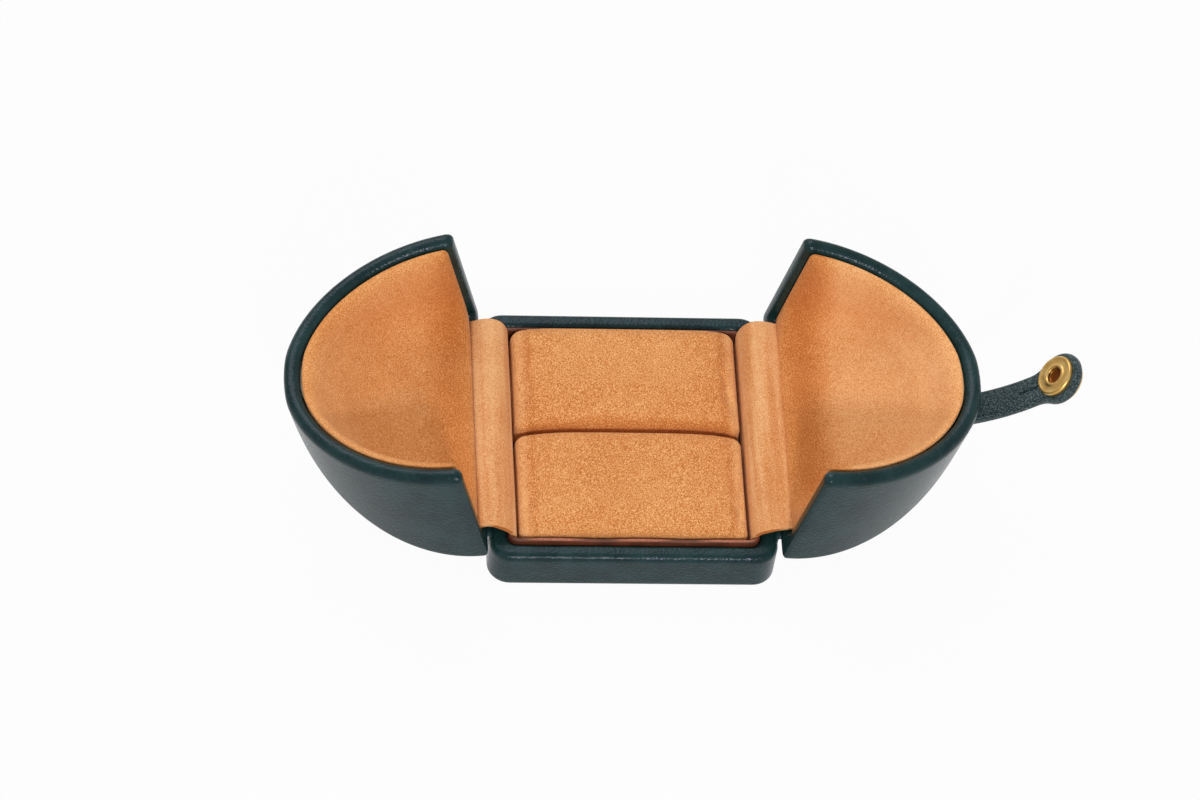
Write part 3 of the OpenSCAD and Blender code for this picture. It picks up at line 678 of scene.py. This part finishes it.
BAND_IN, BAND_OUT, BAND_LOW = 4.55, 3.75, 4.2
band_profile = [(4.5, BAND_LOW), (BAND_OUT, BAND_LOW), (BAND_OUT, 8.0), (BAND_OUT, 11.5)]
band_profile += quarter(4.15, 11.6, 0.4, 0, 180)
band_profile += [(BAND_IN, 11.5), (BAND_IN, 8.0), (BAND_IN, BAND_LOW), (4.5, BAND_LOW)]
band_rings = []
for inset, z in band_profile:
    ring = rounded_box(inset, z)
    wave = 0.12 * np.sin(ring[:, 0] * 0.35 + 1.0) - 0.12
    # The edge is a little uneven, and lower at the back
    ring[:, 2] += (z > BASE_H) * np.where(ring[:, 1] > 26, -0.9, wave)
    band_rings.append(ring)
band = mesh_object("tray_band_leather", *loft(band_rings), brown_leather("brown_leather"))
tidy_mesh(band)
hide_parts("tray_band")
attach(band, "base")


# ---- Ring cushions: two foam pads wrapped in suede ----
# Each pad is a foam block with suede drawn over it and glued below. They press together,
# and the slot between them grips the ring's band. Pressure in the cloth rounds their tops.

PAD_X, PAD_Y, PAD_MID, PAD_LOW = 24.3, 13.2, 13.28, 4.25
PAD_R, CROWN, CROWN_DROP = 2.1, 2.6, 0.8
PAD_GLUED, SWELL_FRAMES = 0.8, 20
# Share of the crown's height lost at each pad's outer edge and at the slot, and the power across
CROWN_LOSS = {"rear": (0.12, 0.32, 8.0), "front": (0.5, 0.06, 4.0)}


def pad_crown(x, y, loss):
    """Rise of a pad's top, with x and y from -1 to 1 and y above 0 to the outer edge.

    CROWN (1 - |x|^power) f - CROWN_DROP |xy|^6, where f is 1 - outer y^6 towards the outer
    edge and 1 - slot y^2 towards the slot, and loss is (outer, slot, power).
    """
    outer, slot, power = loss
    x, y = np.abs(x / PAD_X), y / PAD_Y
    fall = np.where(y > 0, 1 - outer * np.clip(y, 0, 1) ** 6, 1 - slot * y * y)
    return CROWN * np.clip(1 - x**power, 0, None) * fall - CROWN_DROP * np.abs(x * y) ** 6


def pad_ring(inset, waist, n=12, m=40):
    """Ring round a pad drawn in by inset (x, y), its sides drawn in by waist at their middles."""
    hx, hy, r = PAD_X - inset[0], PAD_Y - inset[1], max(PAD_R - max(inset), 0.25)
    angle = np.linspace(-np.pi / 2, 0, n)
    share = np.linspace(0, 1, m + 2)[1:-1]
    rows = []
    corners = np.array([(1, -1), (1, 1), (-1, 1), (-1, -1)]) * (hx - r, hy - r)
    for k in range(4):
        turn = angle + k * np.pi / 2
        one, two = corners[k], corners[(k + 1) % 4]
        rows.append(one + r * np.column_stack([np.cos(turn), np.sin(turn)]))
        out = np.array([np.cos(k * np.pi / 2), np.sin(k * np.pi / 2)])
        bow = (r - waist * 4 * share * (1 - share))[:, None]
        rows.append(one + (two - one) * share[:, None] + out * bow)
    return np.concatenate(rows)


def pad_form(loss):
    """Closed form of a pad, a little inside its space: rounded top edge, flat underside."""
    # Inset across and along, height, share of the crown's rise, draw-in of the sides
    levels = [
        (3.0, 3.0, 4.3, 0, 0),
        (1.2, 1.2, 4.3, 0, 0),
        (0.4, 0.4, 5.0, 0, 0.05),
        (0.1, 0.15, 7.5, 0.3, 0.05),
        (0.05, 0.1, 9.0, 0.6, 0.05),
    ]
    for q in np.linspace(0, np.pi / 2, 9)[1:]:
        c, up = 1 - np.cos(q), np.sin(q)
        levels.append((0.05 + 1.1 * c, 0.1 + 0.9 * c, 10.2 + 1.15 * up, 0.75 + 0.25 * up, 0.03))
    levels += [(s, s - 0.6, 11.35, 1.0, 0.0) for s in (2.4, 4.0, 6.0, 8.0, 10.0, 11.6, 12.8)]
    rings = []
    for across, back, z, share, waist in levels:
        flat = pad_ring((across, back), waist)
        height = z + share * pad_crown(flat[:, 0], flat[:, 1], loss) * (z > 5)
        rings.append(np.column_stack([flat, height]))
    return loft(rings, ends=True)


def puffed(obj, cap, enlarge=20.0, voxel=0.6):
    """Points of the mesh remeshed and swelled by cloth under pressure, none moving over cap.

    The form is simulated enlarged, as a cushion of about a metre, and scaled back.
    """
    scene = bpy.context.scene
    obj.data.transform(Matrix.Scale(enlarge, 4))
    remesh = obj.modifiers.new("remesh", "REMESH")
    remesh.mode, remesh.voxel_size = "VOXEL", voxel * enlarge * MM
    mesh = bpy.data.meshes.new_from_object(obj.evaluated_get(bpy.context.evaluated_depsgraph_get()))
    obj.modifiers.clear()
    obj.data = mesh
    start = np.empty(len(mesh.vertices) * 3)
    mesh.vertices.foreach_get("co", start)
    start = start.reshape(-1, 3)
    end = start.copy()
    held = obj.vertex_groups.new(name="held")
    low = np.nonzero(start[:, 2] < (PAD_LOW + PAD_GLUED) * MM * enlarge)[0]
    held.add(low.tolist(), 1.0, "REPLACE")
    cloth = obj.modifiers.new("cloth", "CLOTH")
    cloth.settings.effector_weights.gravity = 0.0
    cloth.settings.use_pressure = True
    cloth.settings.uniform_pressure_force = 4.0
    cloth.settings.vertex_group_mass = "held"
    cloth.settings.tension_stiffness = 30.0
    cloth.settings.compression_stiffness = 30.0
    cloth.settings.bending_stiffness = 2.0
    cloth.settings.quality = 4
    cloth.collision_settings.use_self_collision = False
    cloth.point_cache.frame_start = 1
    cloth.point_cache.frame_end = SWELL_FRAMES
    for k in range(1, SWELL_FRAMES + 1):
        scene.frame_set(k)
    moved = obj.evaluated_get(bpy.context.evaluated_depsgraph_get())
    flat = np.empty(len(start) * 3)
    moved.data.vertices.foreach_get("co", flat)
    end = flat.reshape(-1, 3)
    obj.modifiers.clear()
    obj.vertex_groups.clear()
    scene.frame_set(1)
    step = end - start
    far = np.linalg.norm(step, axis=1, keepdims=True)
    limit = cap * enlarge * MM
    return (start + step * np.minimum(1, limit / np.maximum(far, 1e-9))) / enlarge / MM


def crease(p, one, two, depth, width):
    """How far points sink along a fold from one to two: a bell across it, eased at its ends."""
    one, two = np.array(one, float), np.array(two, float)
    along = two - one
    t = ((p[:, :2] - one) @ along) / (along @ along)
    gap = np.linalg.norm(p[:, :2] - (one + np.clip(t, 0, 1)[:, None] * along), axis=1)
    ease = np.clip(4 * t * (1 - t), 0, 1)
    return depth * ease * np.exp(-((gap / width) ** 2))


def pad_bands_and_painted_slot_shade(nap, where):
    """Pale along each side, with a darker line beside it, and painted shade by the slot."""
    x = nap.along(where, 0)
    y = nap.along(where, 1)
    wander = nap.noise(where, 260.0, 2.0, 0.5) * 0.0016 - 0.0008
    side = abs(x) + wander
    slot = y + wander + (x * x) * 2.6
    paler = side.ramp(0.0212, 0.0222) * 0.7
    # The darkening by the slot is painted shade.
    return paler + bell(side, 0.0204, 0.001) * -0.35 + bell(slot, 0.0014, 0.0022) * -0.7


pad_skin = suede(
    "pad_suede",
    (235, 178, 120),
    (211, 137, 75),
    nap_scale=5000.0,
    drawn=1.8,
    contrast=1.5,
    shade=pad_bands_and_painted_slot_shade,
    depth=0.0004,
)
# Folds in each pad's suede: start, end, depth and width
FOLDS = {
    "rear": [((19.6, 17.5), (22.8, 5.0), 0.55, 0.5), ((22.4, 6.5), (23.2, -0.4), 0.25, 0.4)],
    "front": [((23.2, -11.5), (21.7, -24.6), 0.5, 0.45), ((-22.6, -8.0), (-21.8, -24.0), 0.2, 0.5)],
}

for place, sign in (("rear", 1), ("front", -1)):
    pad = mesh_object(f"{place}_pad", *pad_form(CROWN_LOSS[place]), pad_skin)
    points = puffed(pad, 0.45)
    points[:, 0] = np.clip(points[:, 0], -PAD_X, PAD_X)
    points[:, 1] = np.clip(points[:, 1], 0.08 - PAD_Y, PAD_Y)
    points[:, 2] = np.clip(points[:, 2], PAD_LOW, None)
    points *= (sign, sign, 1)
    points[:, 1] += sign * PAD_MID
    for one, two, depth, width in FOLDS[place]:
        points[:, 2] -= crease(points, one, two, depth, width) * (points[:, 2] > 10)
    pad.data.vertices.foreach_set("co", (points * MM).ravel())
    pad.data.materials.clear()
    pad.data.materials.append(pad_skin)
    pad.data.polygons.foreach_set("use_smooth", np.full(len(pad.data.polygons), True))
    finer = pad.modifiers.new("finer", "SUBSURF")
    finer.levels = finer.render_levels = 1
    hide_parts(f"{place}_cushion")
    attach(pad, "base")


# ---- Suede hinge strips: soft hinges inside the box ----
# Each is one strip of suede, pared thin and glued inside the lid, bridging the two rims in
# a loose curve and glued down the well's side behind the cushions. Its ends are cut bare.


# Half length of each strip, front to back
STRIP_Y = 26.0


def bezier(p, n):
    """n + 1 points of the cubic curve with these four control points."""
    t = np.linspace(0, 1, n + 1)[:, None]
    return (1 - t) ** 3 * p[0] + 3 * t * (1 - t) ** 2 * p[1] + 3 * t * t * (1 - t) * p[2] + t**3 * p[3]


def left_of(line):
    """Unit normals of a line (x, z), to the left of its direction."""
    along = np.gradient(line, axis=0)
    normal = np.column_stack([-along[:, 1], along[:, 0]])
    return normal / np.linalg.norm(normal, axis=1)[:, None]


def strip_loft(rings):
    """Points and faces of a strip through closed outlines, each one face out and the other
    back, with its two cut ends closed by quads between the faces."""
    points, faces = loft(rings)
    size = len(rings[0])
    last = (len(rings) - 1) * size
    for k in range(size // 2 - 1):
        faces.append([k + 1, k, size - 1 - k, size - 2 - k])
        faces.append([last + k, last + k + 1, last + size - 2 - k, last + size - 1 - k])
    return points, faces


# Place (u, v) in the lid where each strip's glued edge lies
LIP = {"left": (4.1, 0.6), "right": (4.5, 1.6)}
# Inner control points (x, z) of each strip's upper face, at its front and at its back
BRIDGE = {
    "left": (((-29.4, 16.3), (-26.3, 14.9)), ((-29.2, 16.9), (-25.3, 15.9))),
    "right": (((-29.4, 15.2), (-25.9, 15.1)), ((-29.3, 17.3), (-25.4, 16.8))),
}


def strip_section(side, share):
    """Closed outline (x, z) of a strip: its upper face, share of the way back, and underside."""
    front, back = (np.array(c) for c in BRIDGE[side])
    inner = front + (back - front) * (share * share * (3 - 2 * share))
    lip = in_lid(*LIP[side], side)
    top = bezier([lip, inner[0], inner[1], np.array([-24.42, 11.6])], 22)
    tail = np.column_stack([np.full(4, -24.4), [10.4, 8.5, 6.5, 4.5]])
    glued = lip + in_lid(4.0, 0.8, side) - in_lid(4.05, 0.1, side)
    top = np.concatenate([[glued], top, tail])
    # Pared thin on the lid's side, full thickness from there on
    thick = np.interp(np.arange(len(top)), [0, 4, 12, len(top)], [0.55, 0.65, 0.95, 0.95])
    below = top - left_of(top) * thick[:, None]
    return np.concatenate([top, below[::-1]])


def suede_strip(side):
    """Points and faces of a strip: its section swept from front to back, with wavy cut ends."""
    near_end = np.array([25.85, 25.97, STRIP_Y])
    stations = np.concatenate([-near_end[::-1], np.linspace(-25.6, 25.6, 50), near_end])
    rings = []
    for y in stations:
        outline = strip_section(side, (y + STRIP_Y) / (2 * STRIP_Y))
        n = len(outline) // 2
        middle = (outline[:n] + outline[::-1][:n]) / 2
        shrink = 0.8 if abs(y) > 25.99 else 0.93 if abs(y) > 25.9 else 1.0
        mids = np.concatenate([middle, middle[::-1]])
        outline = mids + (outline - mids) * shrink
        wave = 0.1 * np.sin(y * 0.31 + 1.3) * np.sin(np.linspace(0, np.pi, n)) ** 2
        outline[:, 1] += np.concatenate([wave, wave[::-1]])
        edge = 0.12 * np.sin(np.linspace(0, 9, n)) * max(0, (abs(y) - 25) / 1.0) * np.sign(y)
        ends = y - np.concatenate([edge, edge[::-1]]) * 0.6 - 0.08 * np.sign(y)
        rings.append(np.column_stack([outline[:, 0], ends, outline[:, 1]]))
    points, faces = strip_loft(rings)
    return points * (-1 if side == "right" else 1, 1, 1), faces


def strip_shade(nap, where):
    """Soft lengthwise bands of a bent strip, and its raw cut ends."""
    run = nap.add("ShaderNodeMapping", {}, {"Vector": where, "Scale": (1.0, 0.05, 1.0)})
    bands = nap.noise(run, 420.0, 3.0, 0.5)
    y = abs(nap.along(where, 1))
    return bands.ramp(0.35, 0.68, -0.2, 0.6) + y.ramp(0.02585, 0.02597) * -4.0


strip_skin = suede(
    "strip_suede",
    (230, 179, 128),
    (212, 144, 88),
    nap_scale=5000.0,
    contrast=0.9,
    shade=strip_shade,
)

for side in ("left", "right"):
    strip = mesh_object(f"{side}_strip_suede", *suede_strip(side), strip_skin)
    tidy_mesh(strip, 0.001)
    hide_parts(f"{side}_hinge_suede")
    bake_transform(strip)


# ---- Outer hinge leathers: the green leather hinges ----
# A pared strip of the cover's leather is glued to the base's wall and the lid's back, and
# folds between their edges when the lid opens.


def hinge_leather(side):
    """Points and faces of a folded strip: up the base's wall, over the hinge, down the lid."""
    low = np.column_stack([np.full(6, -29.72), np.linspace(6.05, 10.5, 6)])
    high = np.array([in_lid(0.28, v, side) for v in np.linspace(0.9, 5.2, 6)])
    turn = bezier([low[-1], low[-1] + (0, 1.2), high[0] - (high[1] - high[0]) * 1.2, high[0]], 10)[1:-1]
    middle = np.concatenate([low, turn, high])
    n = len(middle)
    # Half its thickness, pared at both glued edges
    taper = np.interp(np.arange(n), [0, 2, n - 3, n - 1], [0.12, 0.29, 0.29, 0.12])
    half = left_of(middle) * taper[:, None]
    x, z = np.concatenate([middle + half, (middle - half)[::-1]]).T
    rings = [np.column_stack([x, np.full(len(x), y), z]) for y in np.linspace(-25.9, 25.9, 27)]
    points, faces = strip_loft(rings)
    return points * (-1 if side == "right" else 1, 1, 1), faces


for side in ("left", "right"):
    fold = mesh_object(f"{side}_fold_leather", *hinge_leather(side), leather)
    tidy_mesh(fold, 0.001)
    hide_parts(f"{side}_hinge_leather")
    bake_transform(fold)


# ---- Strap: a curved tab of leather with a round head ----
# Leather is wrapped round a curved stiffener, with its butt seam in the middle of the inner
# face. Its root goes through a slit in the right lid; its head carries the snap's socket.

STRAP_R, HEAD_R, STRAP_W, STRAP_T, FLARE_R = 40.0, 5.6, 7.0, 2.2, 6.0
ROOT_A, ROOT_LIFT, HEAD_LIFT = 13.0, 1.9, 2.95
SLIT = np.array([13.15, float(roof_z(ROOT_A, 0))])
ROOT = SLIT + (0, ROOT_LIFT)
HEAD = np.array([-10.15, float(roof_z(10.0, 0)) + HEAD_LIFT])
CHORD = float(np.hypot(*(ROOT - HEAD)))
TURN = 2 * np.arcsin(CHORD / 2 / STRAP_R)
TILT = np.arctan2(ROOT[1] - HEAD[1], ROOT[0] - HEAD[0]) + TURN / 2
CENTRE = HEAD + STRAP_R * np.array([np.sin(TILT), -np.cos(TILT)])
STRAP_OPEN = np.radians(41.0)
# Fullness of the strap's rounded rim: 2 is a quarter ellipse
STRAP_RIM = 2.4


def turned(p, angle):
    """Points (x, z) turned about the origin, from z towards x."""
    c, s = np.cos(angle), np.sin(angle)
    return np.column_stack([p[:, 0] * c + p[:, 1] * s, -p[:, 0] * s + p[:, 1] * c])


def lid_opened(p):
    """Points (x, z) of the closed right lid, x from the seam, at its open place."""
    q = p + (-HINGE_X, HINGE_GAP / 2)
    return turned(q, np.radians(OPEN["right"])) + (HINGE_X, HINGE_Z)


def strap_opened(p):
    """Points (x, z) of the closed strap at its open place: turned back about its root."""
    return lid_opened(turned(p - ROOT, STRAP_OPEN) + ROOT)


def from_head(x, y, n):
    """Points x along the strap's arc from the snap, y across it and n outward from its middle."""
    angle = x / STRAP_R - TILT
    flat = CENTRE + (STRAP_R + n)[:, None] * np.column_stack([np.sin(angle), np.cos(angle)])
    flat = strap_opened(flat)
    return np.column_stack([flat[:, 0], y, flat[:, 1]])


FLARE_Y = STRAP_W / 2 + FLARE_R
FLARE_X = float(np.sqrt((HEAD_R + FLARE_R) ** 2 - FLARE_Y**2))


def half_width(x):
    """Half width of the strap x from the snap: round head, concave flare, straight tab."""
    head = np.sqrt(np.clip(HEAD_R**2 - x * x, 0, None))
    flare = FLARE_Y - np.sqrt(np.clip(FLARE_R**2 - (x - FLARE_X) ** 2, 0, None))
    meet = FLARE_X * HEAD_R / (HEAD_R + FLARE_R)
    return np.where(x < meet, head, np.where(x < FLARE_X, flare, STRAP_W / 2))


def edge_gap(x, y):
    """Distance from a point of the strap to its outline: circle, flare's circle or straight edge."""
    y = np.abs(y)
    in_head = x * FLARE_Y < y * FLARE_X
    flare = np.hypot(x - FLARE_X, y - FLARE_Y) - FLARE_R
    near = np.where(x >= FLARE_X, STRAP_W / 2 - y, flare)
    return np.clip(np.where((x < 0) | in_head, HEAD_R - np.hypot(x, y), near), 0, None)


def strap_line(arc_x):
    """Middle line (x, z) of the strap and its outward normals: its arc, then its root.

    The root is a cubic curve from the arc's end into the slit, square to the lid's roof.
    """
    zero = np.zeros(len(arc_x))
    middle = from_head(arc_x, zero, zero)[:, [0, 2]]
    normal = from_head(arc_x, zero, zero + 1)[:, [0, 2]] - middle
    rise = np.diff(-roof_z(np.array([ROOT_A - 0.1, ROOT_A + 0.1]), 0))
    slope = np.arctan2(*rise, 0.2)
    up = np.array([np.sin(slope), np.cos(slope)])
    mouth, deep = lid_opened(np.stack([SLIT + up * 1.3, SLIT - up * 0.9]))
    along = middle[-1] - middle[-2]
    along /= np.linalg.norm(along)
    bend = bezier([middle[-1], middle[-1] + along * 1.5, mouth, deep], 16)[1:]
    run = np.gradient(np.concatenate([middle[-1:], bend]), axis=0)[1:]
    run /= np.linalg.norm(run, axis=1)[:, None]
    out = np.column_stack([-run[:, 1], run[:, 0]])
    out *= np.sign(out[0] @ normal[0])
    return np.concatenate([middle, bend]), np.concatenate([normal, out])


def strap_mesh():
    """Points and faces of the strap: stations along its arc, then down an S-bend into the slit.

    At each station the section is a superellipse's rim of width 1 round a flat of its
    thickness. On the inner face the butt seam sinks as a bell across the middle.
    """
    length = TURN * STRAP_R - 1.2
    arc_x = np.concatenate(
        [
            -HEAD_R * np.cos(np.linspace(0, np.pi / 2, 26))[:-1],
            np.linspace(0, FLARE_X, 22)[:-1],
            np.linspace(FLARE_X, length, 40),
        ]
    )
    middle, normal = strap_line(arc_x)
    n_root = len(middle) - len(arc_x)
    after = np.linspace(0, 1, n_root + 1)[1:]
    # The root's stations count as far beyond the head
    x = np.concatenate([arc_x, np.full(n_root, 30.0)])
    wide = np.concatenate([half_width(arc_x), STRAP_W / 2 - 0.45 * after])
    thick = np.concatenate([np.ones(len(arc_x)), 1 - 0.45 * after]) * STRAP_T / 2
    fine = np.array([0.03, 0.07, 0.11, 0.16, 0.22]) / (STRAP_W / 2)
    spread = np.sort(np.concatenate([crowded(48, 1.7), fine, -fine]))
    y = wide[:, None] * spread
    xs = np.broadcast_to(x[:, None], y.shape)
    gap = edge_gap(xs, y)
    gap[len(arc_x) :] = (wide[:, None] - np.abs(y))[len(arc_x) :]
    near = np.clip(gap, 0, 1)
    rim = (1 - (1 - near) ** STRAP_RIM) ** (1 / STRAP_RIM)
    high = thick[:, None] * rim
    seam = 0.6 * np.exp(-((y / 0.13) ** 2)) * np.clip((10.4 - xs) / 1.5, 0, 1)
    puff = 0.05 * np.exp(-((np.abs(y) - 0.45) ** 2) / 0.08) * np.clip((10.2 - xs) / 2.5, 0, 1)
    inner = high - (seam - puff) * (xs > 3.5)
    rings = []
    for k in range(len(x)):
        outer_side = middle[k] + normal[k] * high[k][:, None]
        inner_side = middle[k] - normal[k] * inner[k][:, None]
        loop = np.concatenate([outer_side, inner_side[::-1][1:-1]])
        across = np.concatenate([y[k], y[k][::-1][1:-1]])
        rings.append(np.column_stack([loop[:, 0], across, loop[:, 1]]))
    return loft(rings, ends=True)


# The strap's paler colour serves for scuffs and for the painted highlight on its wrinkle crests.
strap_skin = green_leather("strap_leather", (112, 130, 132), True)
strap = mesh_object("strap_wrap", *strap_mesh(), strap_skin)
tidy_mesh(strap, 0.002)
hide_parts("strap_leather")
root_at = lid_opened(SLIT[None])[0]
bend_at = from_head(np.array([TURN * STRAP_R - 2.4]), np.zeros(1), np.zeros(1))[0]
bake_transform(strap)


# ---- Snap: brass press stud ----
# A ring-shaped socket with a spring behind its mouth is clenched to a domed cap through the
# strap's head. Its stud is riveted through the left lid. All are turned or pressed brass.


def brass_finish(name, mouth):
    """Polished brass, a little dulled and finely scratched, painted dark brown round the mouth point as
    painted shade in its deep hole.
    """
    metal = Finish(name)
    where = metal.place()
    cloud = metal.noise(where, 500.0, 3.0, 0.6)
    fine = metal.noise(where, 9000.0, 2.0, 0.5)
    base = metal.mix(cloud.ramp(0.3, 0.7), linear(226, 190, 120), linear(204, 160, 86))
    place = tuple(float(v) for v in mouth * MM)
    distance = {"operation": "DISTANCE"}
    from_mouth = metal.add("ShaderNodeVectorMath", distance, {0: where, 1: place}, 1)
    # Painted shade: dark brown round the socket's mouth, for the depth of its hole.
    metal.set(
        Base_Color=metal.mix(from_mouth.ramp(0.0022, 0.0015), base, linear(122, 66, 24)),
        Metallic=1.0,
        Roughness=0.28 + cloud * 0.12,
        Normal=metal.bump(fine, 0.08, 0.0001),
    )
    return metal.material


bowed = from_head(np.zeros(1), np.zeros(1), np.zeros(1))[0]
polished = brass_finish("brass", from_head(np.zeros(1), np.zeros(1), np.full(1, -1.25))[0])


def revolved(profile, n=96):
    """Points (x, y, z) and faces of a closed profile (r, z) turned about z."""
    angle = np.linspace(0, 2 * np.pi, n, endpoint=False)
    rings = []
    for r, z in profile:
        rings.append(np.column_stack([r * np.cos(angle), r * np.sin(angle), np.full(n, z)]))
    return loft(rings, ends=True)


def smoothed(points, times=2):
    """A list of (r, z) with its corners cut, keeping both ends."""
    p = np.array(points, float)
    for _ in range(times):
        q = np.empty((2 * len(p) - 2, 2))
        q[0::2], q[1::2] = p[:-1] * 0.78 + p[1:] * 0.22, p[:-1] * 0.22 + p[1:] * 0.78
        p = np.concatenate([p[:1], q, p[-1:]])
    return p


# Radius and depth from the socket's outer wall over its rounded lip to the middle of its mouth
face = smoothed(
    [
        (4.38, -0.86), (4.4, -1.6), (4.36, -1.92), (4.16, -2.16), (3.9, -2.2), (3.66, -2.12),
        (3.1, -2.06), (2.6, -2.08), (2.34, -2.2), (2.1, -2.24), (1.86, -2.18), (1.7, -2.02),
        (1.62, -1.8), (1.66, -1.62), (1.75, -1.52), (1.6, -1.36), (1.2, -1.24), (0.6, -1.19),
        (0.03, -1.18),
    ]
)
points, faces = revolved(face)
axis_x = from_head(np.array([0.01]), np.zeros(1), np.zeros(1))[0] - bowed
axis_x /= np.linalg.norm(axis_x)
axis_n = from_head(np.zeros(1), np.zeros(1), np.ones(1))[0] - bowed
placed = bowed + points[:, :1] * axis_x + points[:, 1:2] * (0, 1, 0) + points[:, 2:] * axis_n
socket = mesh_object("socket_brass", placed, faces, polished)
tidy_mesh(socket, 0.001)
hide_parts("snap_socket")
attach(socket, "strap")


# ---- Hidden layers: board, foam, card and the suede underside ----
# Pressed grey board carries the leather, foam fills the cushions, and a suede panel glued
# under the base covers its turned edges and keeps it from sliding.


def plain(name, low, high, scale, rough=0.9):
    """A dull, slightly mottled material."""
    dull = Finish(name)
    cloud = dull.noise(dull.place(), scale, 4.0, 0.6)
    dull.set(
        Base_Color=dull.mix(cloud.ramp(0.3, 0.7), linear(*low), linear(*high)),
        Roughness=rough,
        Normal=dull.bump(cloud, 0.2, 0.0002),
    )
    return dull.material


board = plain("grey_board", (150, 142, 124), (178, 168, 148), 900.0)
foam = plain("white_foam", (232, 230, 220), (244, 242, 234), 1600.0)
under = suede("underside_suede", (206, 146, 96), (184, 122, 70), (150, 94, 50), contrast=0.25)
finishes = {
    board: ["base_board", "cushion_card", "strap_stiffener"]
    + [f"{side}_{part}" for side in ("left", "right") for part in ("lid_board", "lining_former")],
    foam: ["rear_foam", "front_foam"],
    under: ["underside_panel"],
    leather: ["strap_anchor"],
    polished: ["snap_cap", "snap_spring", "snap_stud", "stud_rivet"],
}
for material, names in finishes.items():
    for name in names:
        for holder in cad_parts[name].material_slots:
            holder.material = material
